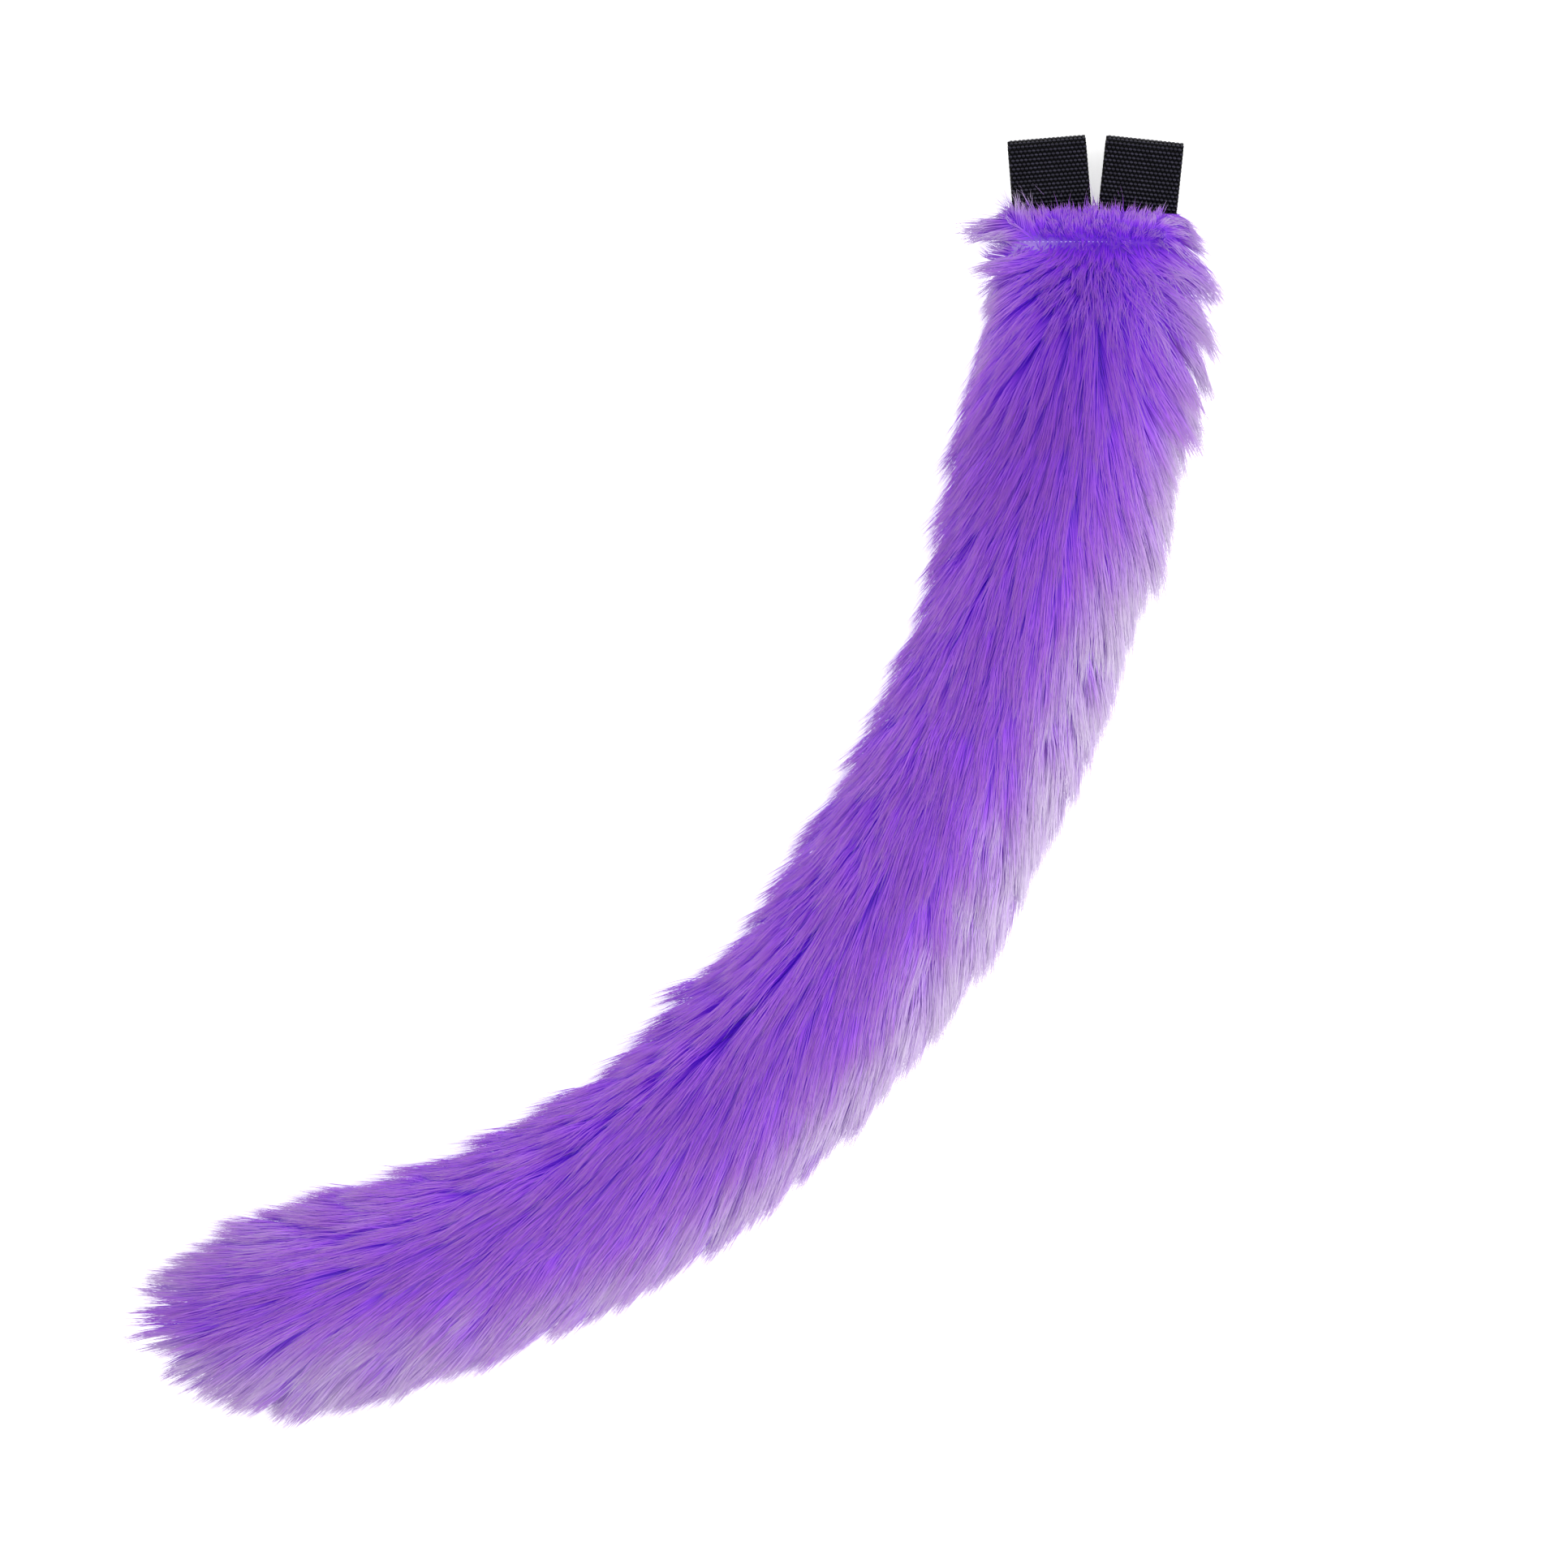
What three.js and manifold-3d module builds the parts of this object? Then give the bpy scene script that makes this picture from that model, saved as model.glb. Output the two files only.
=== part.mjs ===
// Costume animal tail: a long stuffed tube of deep-pile faux fur that lies in a bend, its tip curling to -X,
// with two loops of webbing sewn into its flat hem at the +Y end, for a belt.
// Millimetres, +Z up. The tail lies on z = 0, and the origin is there, under the middle of its outline.

import * as THREE from 'three';
import { mergeVertices } from 'three/addons/utils/BufferGeometryUtils.js';
import Module from 'manifold-3d';

const wasm = await Module();
wasm.setup();

// The webbing and its loops
const WEBBING_WIDTH = 25.4; // 1 inch polypropylene webbing
const WEBBING_THICKNESS = 1.5;
const BELT_GAP = 5.6; // between the two layers, where a belt goes through
const LAYER_GAP = 0.4; // between the two layers where the hem holds them
const LOOP_REACH = 26.5; // from the hem's edge to the top of the fold
const PAST_SEAM = 1.6; // how far its ends go past the seam that closes the hem
const LOOP_FLARE = 7; // length over which the two layers part
const FLARE_EASE = 0.4; // share of that length over which a layer starts to turn
const LOOP_SPACING = 0.4; // between the two loops, at the corners that meet inside the hem
const LEFT_LEAN = 4.7; // degrees that the left loop leans to -X
const RIGHT_LEAN = 6.1; // degrees that the right loop leans to +X
const CLEARANCE = 0.3; // between the webbing and the pocket that it sits in

// The stuffed sleeve
const CORE_LENGTH = 520; // along the bend, from the hem's edge to the end of the packed core
const SLEEVE_WIDTH = 58; // across the packed core, without its free locks
const SLEEVE_HEIGHT = 38;
const FLOOR_PRESS = 6; // how far the soft underside would reach below the floor that flattens it
const HEM_MARGIN = 2.4; // fabric beside the webbing
const HEM_PILE = 4.8; // fur above and below the webbing
const HEM_SEAM = 9.4; // from the hem's edge to the seam that closes it
const SHOULDER = 33; // from that seam to where the sleeve is full
const TIP_ROUND = 34; // length of the rounded end

// The locks of fur
const LOCK_LENGTH = 34;
const LOCK_WIDTH = 17;
const LOCK_THICKNESS = 8;
const LOCK_ROOT = 4.5; // how deep a lock starts inside the core
const LOCK_OVERLAP = 0.82; // spacing of the locks in a row, as a share of their width
const ROW_SPACING = 22; // from one row of locks to the next
const MIN_LOCKS = 6; // in the last rows, round the tip
const LOCK_LIFT = 36; // degrees between a lock's root and the core under it
const LOCK_SAG = 0.35; // share of that lift that the locks on top lose to their weight
const LOWEST_LOCK = -38; // degrees below the side at which the locks stop, where the tail lies on the floor

const LAST_ROW = 6; // the closest that a row comes to the end of the core

// What follows from them
const LOOP_INSERT = HEM_SEAM + PAST_SEAM;
const HEM_WIDTH = 2 * WEBBING_WIDTH + LOOP_SPACING + 2 * HEM_MARGIN;
const WEBBING_STACK = 2 * WEBBING_THICKNESS + LAYER_GAP;
const HEM_THICKNESS = WEBBING_STACK + 2 * HEM_PILE;

// Smoothness of the faceted surfaces
const CORE_RINGS = 30;
const CORE_SIDES = 16;
const TIP_RINGS = 5;
const BEND_STEPS = 260;
const SAME_POINT = 1e-4; // corners this close are one
const FOLD_SEGMENTS = 8;

// Which way the middle line runs: degrees from -Y towards -X, at shares of the core's length
const BEND = [
  { at: 0, heading: 0.5 },
  { at: 0.12, heading: 9 },
  { at: 0.28, heading: 19.5 },
  { at: 0.44, heading: 30.5 },
  { at: 0.6, heading: 45.5 },
  { at: 0.79, heading: 66.5 },
  { at: 0.95, heading: 79 },
  { at: 1, heading: 88 },
];

// The hem and the shoulder behind it: at runs from -1 on the hem's edge to 0 on its seam, and to 1 at the end
// of the shoulder. wide and high say how much of the full sleeve is there, the rest being hem, and pinch how
// much of the thickness is left. square is 1 for an ellipse and less for a flat band.
const SHOULDER_SECTIONS = [
  { at: -1, wide: 0, high: 0, pinch: 0.8, square: 0.6 },
  { at: -0.5, wide: 0, high: 0, pinch: 1, square: 0.6 },
  { at: 0, wide: 0, high: 0, pinch: 0.72, square: 0.62 },
  { at: 0.24, wide: 0.2, high: 0.38, pinch: 0.96, square: 0.75 },
  { at: 0.6, wide: 0.7, high: 0.8, pinch: 1, square: 0.9 },
  { at: 1, wide: 1, high: 1, pinch: 1, square: 1 },
];

// The full sleeve, at shares of the core's length, with its width and height as shares of the named ones
const SLEEVE_SECTIONS = [
  { at: 0, wide: 1.04, high: 0.96 },
  { at: 0.18, wide: 1.04, high: 1 },
  { at: 0.26, wide: 0.97, high: 0.96 },
  { at: 0.34, wide: 0.98, high: 0.98 },
  { at: 0.43, wide: 0.99, high: 0.98 },
  { at: 0.54, wide: 1.03, high: 1 },
  { at: 0.66, wide: 1.01, high: 0.97 },
  { at: 0.8, wide: 1, high: 0.97 },
  { at: 0.9, wide: 1.02, high: 0.95 },
  { at: 1, wide: 0.97, high: 0.9 },
];

// The locks along the tail: long is a share of the lock's length, and lift one of its lift
const LOCK_ROWS = [
  { at: 0, long: 0.74, lift: 2.1 },
  { at: 0.05, long: 0.95, lift: 1.55 },
  { at: 0.1, long: 1.05, lift: 1.15 },
  { at: 0.5, long: 1, lift: 1 },
  { at: 0.88, long: 1, lift: 0.95 },
  { at: 0.96, long: 0.9, lift: 0.6 },
  { at: 1, long: 0.86, lift: 0.1 },
];

// One lock, at shares of its length: its width, thickness and what is left of its lift
const LOCK_SECTIONS = [
  { at: 0, wide: 0.9, thick: 0.9, lift: 1 },
  { at: 0.5, wide: 0.95, thick: 0.9, lift: 0.8 },
  { at: 1, wide: 0, thick: 0, lift: 0.35 },
];

// How far one lock differs from the next, each way
const VARY_LENGTH = 0.16;
const VARY_LIFT = 0.2;
const VARY_TURN = 13; // degrees, across the core
const VARY_PLACE = 0.22; // share of the spacing

const radians = THREE.MathUtils.degToRad;

// A scattered but repeatable number from -1 to 1, for one trait of one lock of a row
function vary(row, number, trait) {
  const wave = 43758.5453 * Math.sin(row * 12.9898 + number * 78.233 + trait * 37.719);
  return 2 * (wave - Math.floor(wave)) - 1;
}

// The value of one column at a place, on a smooth curve through the rows
function read(table, column, at) {
  let row = 0;
  while (row < table.length - 2 && at > table[row + 1].at) {
    row += 1;
  }
  const [before, from, to, after] = [row - 1, row, row + 1, row + 2].map(
    (index) => table[THREE.MathUtils.clamp(index, 0, table.length - 1)],
  );
  const span = to.at - from.at;
  const share = THREE.MathUtils.clamp((at - from.at) / span, 0, 1);
  const slopeIn = ((to[column] - before[column]) / (to.at - before.at)) * span;
  const slopeOut = ((after[column] - from[column]) / (after.at - from.at)) * span;
  const step = to[column] - from[column];
  const bend = slopeIn + slopeOut - 2 * step;
  const rise = 3 * step - 2 * slopeIn - slopeOut;
  return from[column] + slopeIn * share + rise * share ** 2 + bend * share ** 3;
}

// The middle line of the tail, seen from above, as evenly spaced points with their headings
function bendPoints() {
  const step = CORE_LENGTH / BEND_STEPS;
  const points = [{ x: 0, y: 0, heading: radians(read(BEND, 'heading', 0)) }];
  for (let i = 1; i <= BEND_STEPS; i += 1) {
    const last = points[i - 1];
    const heading = radians(read(BEND, 'heading', i / BEND_STEPS));
    points.push({
      x: last.x - step * Math.sin(heading),
      y: last.y - step * Math.cos(heading),
      heading,
    });
  }
  return points;
}

const MIDDLE_LINE = bendPoints();

// Where the middle line is at a distance from the hem: its place, its direction and its left-hand side
function stationAt(distance) {
  const place = THREE.MathUtils.clamp(distance / CORE_LENGTH, 0, 1) * BEND_STEPS;
  const index = Math.min(Math.floor(place), BEND_STEPS - 1);
  const [from, to] = [MIDDLE_LINE[index], MIDDLE_LINE[index + 1]];
  const share = place - index;
  const heading = THREE.MathUtils.lerp(from.heading, to.heading, share);
  return {
    x: THREE.MathUtils.lerp(from.x, to.x, share),
    y: THREE.MathUtils.lerp(from.y, to.y, share),
    along: new THREE.Vector3(-Math.sin(heading), -Math.cos(heading), 0),
    side: new THREE.Vector3(Math.cos(heading), -Math.sin(heading), 0),
  };
}

// Half width, height and squareness of the core at a distance from the hem
function sectionAt(distance) {
  const share = distance / CORE_LENGTH;
  const pastSeam = distance - HEM_SEAM;
  const down = THREE.MathUtils.clamp(pastSeam < 0 ? pastSeam / HEM_SEAM : pastSeam / SHOULDER, -1, 1);
  const wide = read(SHOULDER_SECTIONS, 'wide', down);
  const high = read(SHOULDER_SECTIONS, 'high', down);
  const pinch = read(SHOULDER_SECTIONS, 'pinch', down);
  const fullWidth = SLEEVE_WIDTH * read(SLEEVE_SECTIONS, 'wide', share);
  const fullHeight = SLEEVE_HEIGHT * read(SLEEVE_SECTIONS, 'high', share);
  const intoTip = Math.max(0, distance - (CORE_LENGTH - TIP_ROUND)) / TIP_ROUND;
  const round = Math.sqrt(Math.max(0, 1 - intoTip ** 2));
  return {
    half: (THREE.MathUtils.lerp(HEM_WIDTH, fullWidth, wide) / 2) * round,
    middle: THREE.MathUtils.lerp(HEM_THICKNESS, fullHeight, high) / 2,
    rise: (THREE.MathUtils.lerp(HEM_THICKNESS, fullHeight, high) / 2) * pinch * round,
    press: FLOOR_PRESS * high * round,
    square: read(SHOULDER_SECTIONS, 'square', down),
  };
}

// The point of the core's surface at a distance from the hem and an angle around, 90 degrees being on top
function surfacePoint(distance, angle) {
  const station = stationAt(distance);
  const section = sectionAt(distance);
  const bow = (value) => Math.sign(value) * Math.abs(value) ** section.square;
  const depth = Math.sin(angle) < 0 ? section.rise + section.press : section.rise;
  const point = new THREE.Vector3(station.x, station.y, section.middle + depth * bow(Math.sin(angle)));
  return point.addScaledVector(station.side, section.half * bow(Math.cos(angle)));
}

// A closed surface through rings of equally many points, with a point or a fan of triangles at each end
function loft(rings) {
  const sides = rings[0].length;
  const total = (ring) => ring.reduce((sum, point) => sum.add(point), new THREE.Vector3());
  const centre = (ring) => total(ring).divideScalar(sides);
  const tip = rings.at(-1).length === 1;
  const body = tip ? rings.slice(0, -1) : rings;
  const points = [centre(body[0]), ...body.flat(), tip ? rings.at(-1)[0] : centre(body.at(-1))];
  const last = points.length - 1;
  const triangles = [];
  for (let side = 0; side < sides; side += 1) {
    const next = (side + 1) % sides;
    triangles.push(0, 1 + next, 1 + side);
    for (let ring = 0; ring < body.length - 1; ring += 1) {
      const here = 1 + ring * sides;
      const there = here + sides;
      triangles.push(here + side, here + next, there + next);
      triangles.push(here + side, there + next, there + side);
    }
    triangles.push(last, last - sides + side, last - sides + next);
  }
  const geometry = new THREE.BufferGeometry().setFromPoints(points);
  geometry.setIndex(triangles);
  return geometry;
}

// A solid that can be joined and cut, from a closed geometry
function solidFrom(geometry) {
  const bare = new THREE.BufferGeometry();
  bare.setAttribute('position', geometry.getAttribute('position'));
  bare.setIndex(geometry.getIndex());
  const merged = mergeVertices(bare, SAME_POINT);
  return new wasm.Manifold(
    new wasm.Mesh({
      numProp: 3,
      vertProperties: new Float32Array(merged.getAttribute('position').array),
      triVerts: new Uint32Array(merged.getIndex().array),
    }),
  );
}

// The geometry of a solid
function geometryFrom(solid) {
  const mesh = solid.getMesh();
  const geometry = new THREE.BufferGeometry();
  geometry.setAttribute('position', new THREE.BufferAttribute(mesh.vertProperties, mesh.numProp));
  geometry.setIndex(new THREE.BufferAttribute(mesh.triVerts, 1));
  geometry.computeVertexNormals();
  return geometry;
}

// All solids in one, joined two by two
function joinAll(solids) {
  let parts = solids;
  while (parts.length > 1) {
    const joined = [];
    for (let i = 0; i < parts.length; i += 2) {
      joined.push(i + 1 < parts.length ? parts[i].add(parts[i + 1]) : parts[i]);
    }
    parts = joined;
  }
  return parts[0];
}

// The outer skin of a solid alone, so that pockets closed in between the locks are filled
function withoutPockets(solid) {
  return solid.decompose().reduce((best, piece) => (piece.volume() > best.volume() ? piece : best));
}

// The packed core: rings along the bend, and a rounded end
function coreSolid() {
  const full = CORE_LENGTH - TIP_ROUND;
  const shoulder = HEM_SEAM + SHOULDER;
  const distances = SHOULDER_SECTIONS.map(({ at }) => HEM_SEAM + at * (at < 0 ? HEM_SEAM : SHOULDER));
  for (let i = 1; i <= CORE_RINGS; i += 1) {
    distances.push(THREE.MathUtils.lerp(shoulder, full, i / CORE_RINGS));
  }
  for (let i = 1; i < TIP_RINGS; i += 1) {
    distances.push(full + TIP_ROUND * Math.sin((i / TIP_RINGS) * (Math.PI / 2)));
  }
  const rings = distances.map((distance) =>
    Array.from({ length: CORE_SIDES }, (_, side) =>
      surfacePoint(distance, (side / CORE_SIDES) * 2 * Math.PI),
    ),
  );
  rings.push([surfacePoint(CORE_LENGTH, 0)]);
  return solidFrom(loft(rings));
}

// One lock of fur: a flat, tapering wedge that leaves the core at its root and leans towards the tip
function lockSolid(distance, angle, row, number) {
  const station = stationAt(distance);
  const out = station.side.clone().multiplyScalar(Math.cos(angle));
  out.z = Math.sin(angle);
  const turn = radians(VARY_TURN) * vary(row, number, 1);
  const along = station.along.clone().applyAxisAngle(out, turn);
  const across = new THREE.Vector3().crossVectors(out, along);
  const share = distance / CORE_LENGTH;
  const sagged = 1 - LOCK_SAG * Math.max(0, out.z);
  const ownLift = 1 + VARY_LIFT * vary(row, number, 2);
  const ownLength = 1 + VARY_LENGTH * vary(row, number, 3);
  const lift = radians(LOCK_LIFT) * read(LOCK_ROWS, 'lift', share) * sagged * ownLift;
  const length = LOCK_LENGTH * read(LOCK_ROWS, 'long', share) * ownLength;
  const place = surfacePoint(distance, angle).addScaledVector(out, -LOCK_ROOT);
  const rings = LOCK_SECTIONS.map((section, index) => {
    const lean = lift * section.lift;
    if (index > 0) {
      const stretch = length * (section.at - LOCK_SECTIONS[index - 1].at);
      place.addScaledVector(along, stretch * Math.cos(lean)).addScaledVector(out, stretch * Math.sin(lean));
    }
    const up = out.clone().multiplyScalar(Math.cos(lean)).addScaledVector(along, -Math.sin(lean));
    const half = (LOCK_WIDTH / 2) * section.wide;
    const deep = (LOCK_THICKNESS / 2) * section.thick;
    if (half === 0) {
      return [place.clone()];
    }
    return [
      place.clone().addScaledVector(across, half),
      place.clone().addScaledVector(up, deep),
      place.clone().addScaledVector(across, -half),
      place.clone().addScaledVector(up, -deep),
    ];
  });
  return solidFrom(loft(rings));
}

// Rows of locks over the back and both sides, each row set between the locks of the row before
function lockSolids() {
  const locks = [];
  const first = HEM_SEAM / 2;
  const lowest = radians(LOWEST_LOCK);
  const around = Math.PI - 2 * lowest;
  for (let row = 0; first + row * ROW_SPACING < CORE_LENGTH - LAST_ROW; row += 1) {
    const distance = first + row * ROW_SPACING;
    const section = sectionAt(distance);
    const girth = (around * (section.half + section.rise)) / 2;
    const count = Math.max(MIN_LOCKS, Math.round(girth / (LOCK_WIDTH * LOCK_OVERLAP)));
    const stagger = row % 2 === 0 ? 1 / 4 : 3 / 4;
    for (let number = 0; number < count; number += 1) {
      const place = number + stagger + VARY_PLACE * vary(row, number, 4);
      const shift = row === 0 ? 0 : ROW_SPACING * VARY_PLACE * vary(row, number, 5);
      locks.push(lockSolid(distance + shift, lowest + (around * place) / count, row, number));
    }
  }
  return locks;
}

// Outline of a folded loop seen from its side, u up from the hem's edge. A pocket for it is grown by the
// clearance and has no gap inside.
function loopOutline(grow, open) {
  const held = LAYER_GAP / 2;
  const gap = BELT_GAP / 2;
  const thick = WEBBING_THICKNESS + grow;
  const bottom = -LOOP_INSERT - grow;
  const foldStart = LOOP_REACH - gap - WEBBING_THICKNESS;
  const bendIn = LOOP_FLARE * FLARE_EASE;
  const bendOut = LOOP_FLARE * (1 - FLARE_EASE);
  const shape = new THREE.Shape();
  shape.moveTo(bottom, -held - thick);
  shape.lineTo(0, -held - thick);
  shape.bezierCurveTo(bendIn, -held - thick, bendOut, -gap - thick, LOOP_FLARE, -gap - thick);
  shape.lineTo(foldStart, -gap - thick);
  shape.absarc(foldStart, 0, gap + thick, -Math.PI / 2, Math.PI / 2, false);
  shape.lineTo(LOOP_FLARE, gap + thick);
  shape.bezierCurveTo(bendOut, gap + thick, bendIn, held + thick, 0, held + thick);
  shape.lineTo(bottom, held + thick);
  if (open) {
    shape.lineTo(bottom, held);
    shape.lineTo(0, held);
    shape.bezierCurveTo(bendIn, held, bendOut, gap, LOOP_FLARE, gap);
    shape.lineTo(foldStart, gap);
    shape.absarc(foldStart, 0, gap, Math.PI / 2, -Math.PI / 2, true);
    shape.lineTo(LOOP_FLARE, -gap);
    shape.bezierCurveTo(bendOut, -gap, bendIn, -held, 0, -held);
    shape.lineTo(bottom, -held);
  }
  shape.closePath();
  return shape;
}

// A loop, or the pocket for it, standing in the hem: hand is -1 for the left one and 1 for the right one
function loopGeometry(hand, lean, grow, open) {
  const width = WEBBING_WIDTH + 2 * grow;
  const geometry = new THREE.ExtrudeGeometry(loopOutline(grow, open), {
    depth: width,
    bevelEnabled: false,
    curveSegments: FOLD_SEGMENTS,
  });
  const upright = new THREE.Matrix4().makeBasis(
    new THREE.Vector3(0, 1, 0),
    new THREE.Vector3(0, 0, 1),
    new THREE.Vector3(1, 0, 0),
  );
  geometry.translate(0, 0, -width / 2);
  geometry.applyMatrix4(upright);
  geometry.translate((hand * WEBBING_WIDTH) / 2, LOOP_INSERT, 0);
  geometry.rotateZ(-hand * radians(lean));
  geometry.translate((hand * LOOP_SPACING) / 2, -LOOP_INSERT, HEM_THICKNESS / 2);
  return geometry;
}

// Everything under the floor that a lock or the soft underside could reach
function floorSolid() {
  const size = 4 * CORE_LENGTH;
  const depth = FLOOR_PRESS + LOCK_LENGTH;
  const block = new THREE.BoxGeometry(size, size, depth);
  block.translate(0, 0, -depth / 2);
  return solidFrom(block);
}

// The fur sleeve: core and locks in one, flat where it lies, with a pocket in the hem for each loop
function furSleeveGeometry() {
  const furred = withoutPockets(joinAll([coreSolid(), ...lockSolids()]));
  const pockets = [
    solidFrom(loopGeometry(-1, LEFT_LEAN, CLEARANCE, false)),
    solidFrom(loopGeometry(1, RIGHT_LEAN, CLEARANCE, false)),
  ];
  const cut = furred.subtract(floorSolid()).subtract(joinAll(pockets));
  return geometryFrom(withoutPockets(cut));
}

function piece(name, geometry, material) {
  const mesh = new THREE.Mesh(geometry, material);
  mesh.name = name;
  return mesh;
}

const fur = new THREE.MeshStandardMaterial({ color: 0x8648d0, roughness: 0.85, metalness: 0 });
const leftWebbing = new THREE.MeshStandardMaterial({ color: 0x15131a, roughness: 0.6, metalness: 0 });
const rightWebbing = leftWebbing.clone();

const tail = new THREE.Group();
tail.name = 'costume_animal_tail';
tail.add(piece('fur_sleeve', furSleeveGeometry(), fur));
tail.add(piece('belt_loop_left', loopGeometry(-1, LEFT_LEAN, 0, true), leftWebbing));
tail.add(piece('belt_loop_right', loopGeometry(1, RIGHT_LEAN, 0, true), rightWebbing));

// The origin goes under the middle of the outline, on the floor
const outline = new THREE.Box3().setFromObject(tail);
const middle = outline.getCenter(new THREE.Vector3());
tail.position.set(-middle.x, -middle.y, -outline.min.z);

export default tail;
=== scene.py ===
# %% [markdown]
# # A costume tail of deep-pile faux fur
# The object is a long stuffed tail that lies on its side in a bend, with two loops of black webbing sewn
# into its flat hem. The CAD part gives the solid shape. This lesson dresses it: a dense underfur, tens of
# thousands of strands in combed locks, woven webbing and the thread that closes the hem.

# %% Load the CAD part as the frame
import math

import bpy
import numpy as np
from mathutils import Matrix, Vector


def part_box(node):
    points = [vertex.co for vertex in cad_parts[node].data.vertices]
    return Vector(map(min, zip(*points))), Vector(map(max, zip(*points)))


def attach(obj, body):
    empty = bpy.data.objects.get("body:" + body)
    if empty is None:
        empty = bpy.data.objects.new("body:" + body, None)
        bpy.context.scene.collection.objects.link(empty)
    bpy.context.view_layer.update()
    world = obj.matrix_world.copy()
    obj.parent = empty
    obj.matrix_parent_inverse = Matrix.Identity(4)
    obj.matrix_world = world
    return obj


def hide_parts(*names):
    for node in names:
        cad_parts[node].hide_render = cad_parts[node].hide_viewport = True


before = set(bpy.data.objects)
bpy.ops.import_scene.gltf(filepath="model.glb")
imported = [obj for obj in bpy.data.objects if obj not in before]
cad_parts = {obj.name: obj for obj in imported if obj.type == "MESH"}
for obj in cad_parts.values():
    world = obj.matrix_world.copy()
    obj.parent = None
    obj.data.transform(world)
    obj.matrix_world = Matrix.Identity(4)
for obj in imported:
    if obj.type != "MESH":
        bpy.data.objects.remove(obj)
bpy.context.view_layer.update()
MM = 0.001

# %% [markdown]
# ## Helpers
# Colours are written as sRGB hex codes, the way a maker's colour card gives them, and Blender wants linear
# numbers, so one function turns them. Another adds a node of any kind to any tree, sets it up and links it.
# Inputs are given in order, or by name, and a node stands for its first output that is in use. A chain is a
# run of such nodes, each fed by the one before, as a sum is worked out step by step.

# %% Colour and node helpers
def linear(code):
    """A colour card's hex code as linear red, green, blue and an alpha of 1."""
    channels = [int(code[place:place + 2], 16) / 255 for place in (1, 3, 5)]
    return [c / 12.92 if c <= 0.04045 else ((c + 0.055) / 1.055) ** 2.4 for c in channels] + [1.0]


def output(value):
    """A node's first output that is in use, or the socket itself."""
    if isinstance(value, bpy.types.Node):
        return next(socket for socket in value.outputs if socket.enabled)
    return value


def add(tree, kind, inputs=(), **settings):
    """Adds a node of that kind, with its settings, and with values or links on its inputs."""
    node = tree.nodes.new(kind)
    for name, value in settings.items():
        setattr(node, name, value)
    sockets = [socket for socket in node.inputs if socket.enabled]
    pairs = inputs.items() if isinstance(inputs, dict) else enumerate(inputs)
    for key, value in pairs:
        if value is None:
            continue
        socket = sockets[key] if isinstance(key, int) else next(s for s in sockets if s.name == key)
        if isinstance(value, (bpy.types.Node, bpy.types.NodeSocket)):
            tree.links.new(output(value), socket)
        else:
            socket.default_value = value
    return node


def chain(tree, kind, start, *steps):
    """Adds a run of nodes of one kind: each step is an operation and its second input."""
    for operation, other in steps:
        start = add(tree, kind, [start, other], operation=operation)
    return start


MATH, VECTOR_MATH = "ShaderNodeMath", "ShaderNodeVectorMath"
MAP, MIX = "ShaderNodeMapRange", "ShaderNodeMix"  # a map takes: value, from low, from high, to low, to high
print("The grey #808080 is", round(linear("#808080")[0], 3), "in linear light")

# %% [markdown]
# ## Where the tail runs
# The strands have to follow the same bend as the CAD solid. The bend is a short table: which way the middle
# line points at shares of its length. Adding up small steps along it gives the line. Its start is the
# middle of the hem's edge, which is worked out from the two belt loops, because they stand exactly there.

# %% The middle line
CORE_LENGTH = 520 * MM
LOOP_REACH = 26.5 * MM
LOOP_INSERT = 11 * MM
LOOP_LEANS = {"belt_loop_left": 4.7, "belt_loop_right": -6.1}  # degrees, to the left
BEND_AT = (0, 0.12, 0.28, 0.44, 0.6, 0.79, 0.95, 1)
BEND_HEADING = (0.5, 9, 19.5, 30.5, 45.5, 66.5, 79, 88)  # degrees from -Y towards -X

left_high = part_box("belt_loop_left")[1]
right_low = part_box("belt_loop_right")[0]
top_of_left = (LOOP_INSERT + LOOP_REACH) * math.cos(math.radians(LOOP_LEANS["belt_loop_left"]))
HEM = Vector(((left_high.x + right_low.x) / 2, left_high.y + LOOP_INSERT - top_of_left, 0))


def smooth(at, places, values):
    """A smooth curve through the rows of a table, read at one or many places."""
    places, values = np.array(places, float), np.array(values, float)
    slopes = np.empty_like(values)
    slopes[1:-1] = (values[2:] - values[:-2]) / (places[2:] - places[:-2])
    slopes[0] = (values[1] - values[0]) / (places[1] - places[0])
    slopes[-1] = (values[-1] - values[-2]) / (places[-1] - places[-2])
    at = np.clip(at, places[0], places[-1])
    row = np.clip(np.searchsorted(places, at, side="right") - 1, 0, len(places) - 2)
    span = places[row + 1] - places[row]
    t = (at - places[row]) / span
    start, end = values[row], values[row + 1]
    push, pull = slopes[row] * span, slopes[row + 1] * span
    squared = (3 * (end - start) - 2 * push - pull) * t**2
    cubed = (2 * (start - end) + push + pull) * t**3
    return start + push * t + squared + cubed


BEND_STEPS = 520
shares = (np.arange(BEND_STEPS) + 0.5) / BEND_STEPS
headings = np.radians(smooth(shares, BEND_AT, BEND_HEADING))
step = CORE_LENGTH / BEND_STEPS
line = np.zeros((BEND_STEPS + 1, 2))
line[1:, 0] = -np.cumsum(np.sin(headings)) * step
line[1:, 1] = -np.cumsum(np.cos(headings)) * step
line += (HEM.x, HEM.y)
print("The hem's middle in mm:", [round(value / MM, 2) for value in HEM], "tip:", (line[-1] / MM).round(1))


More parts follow.
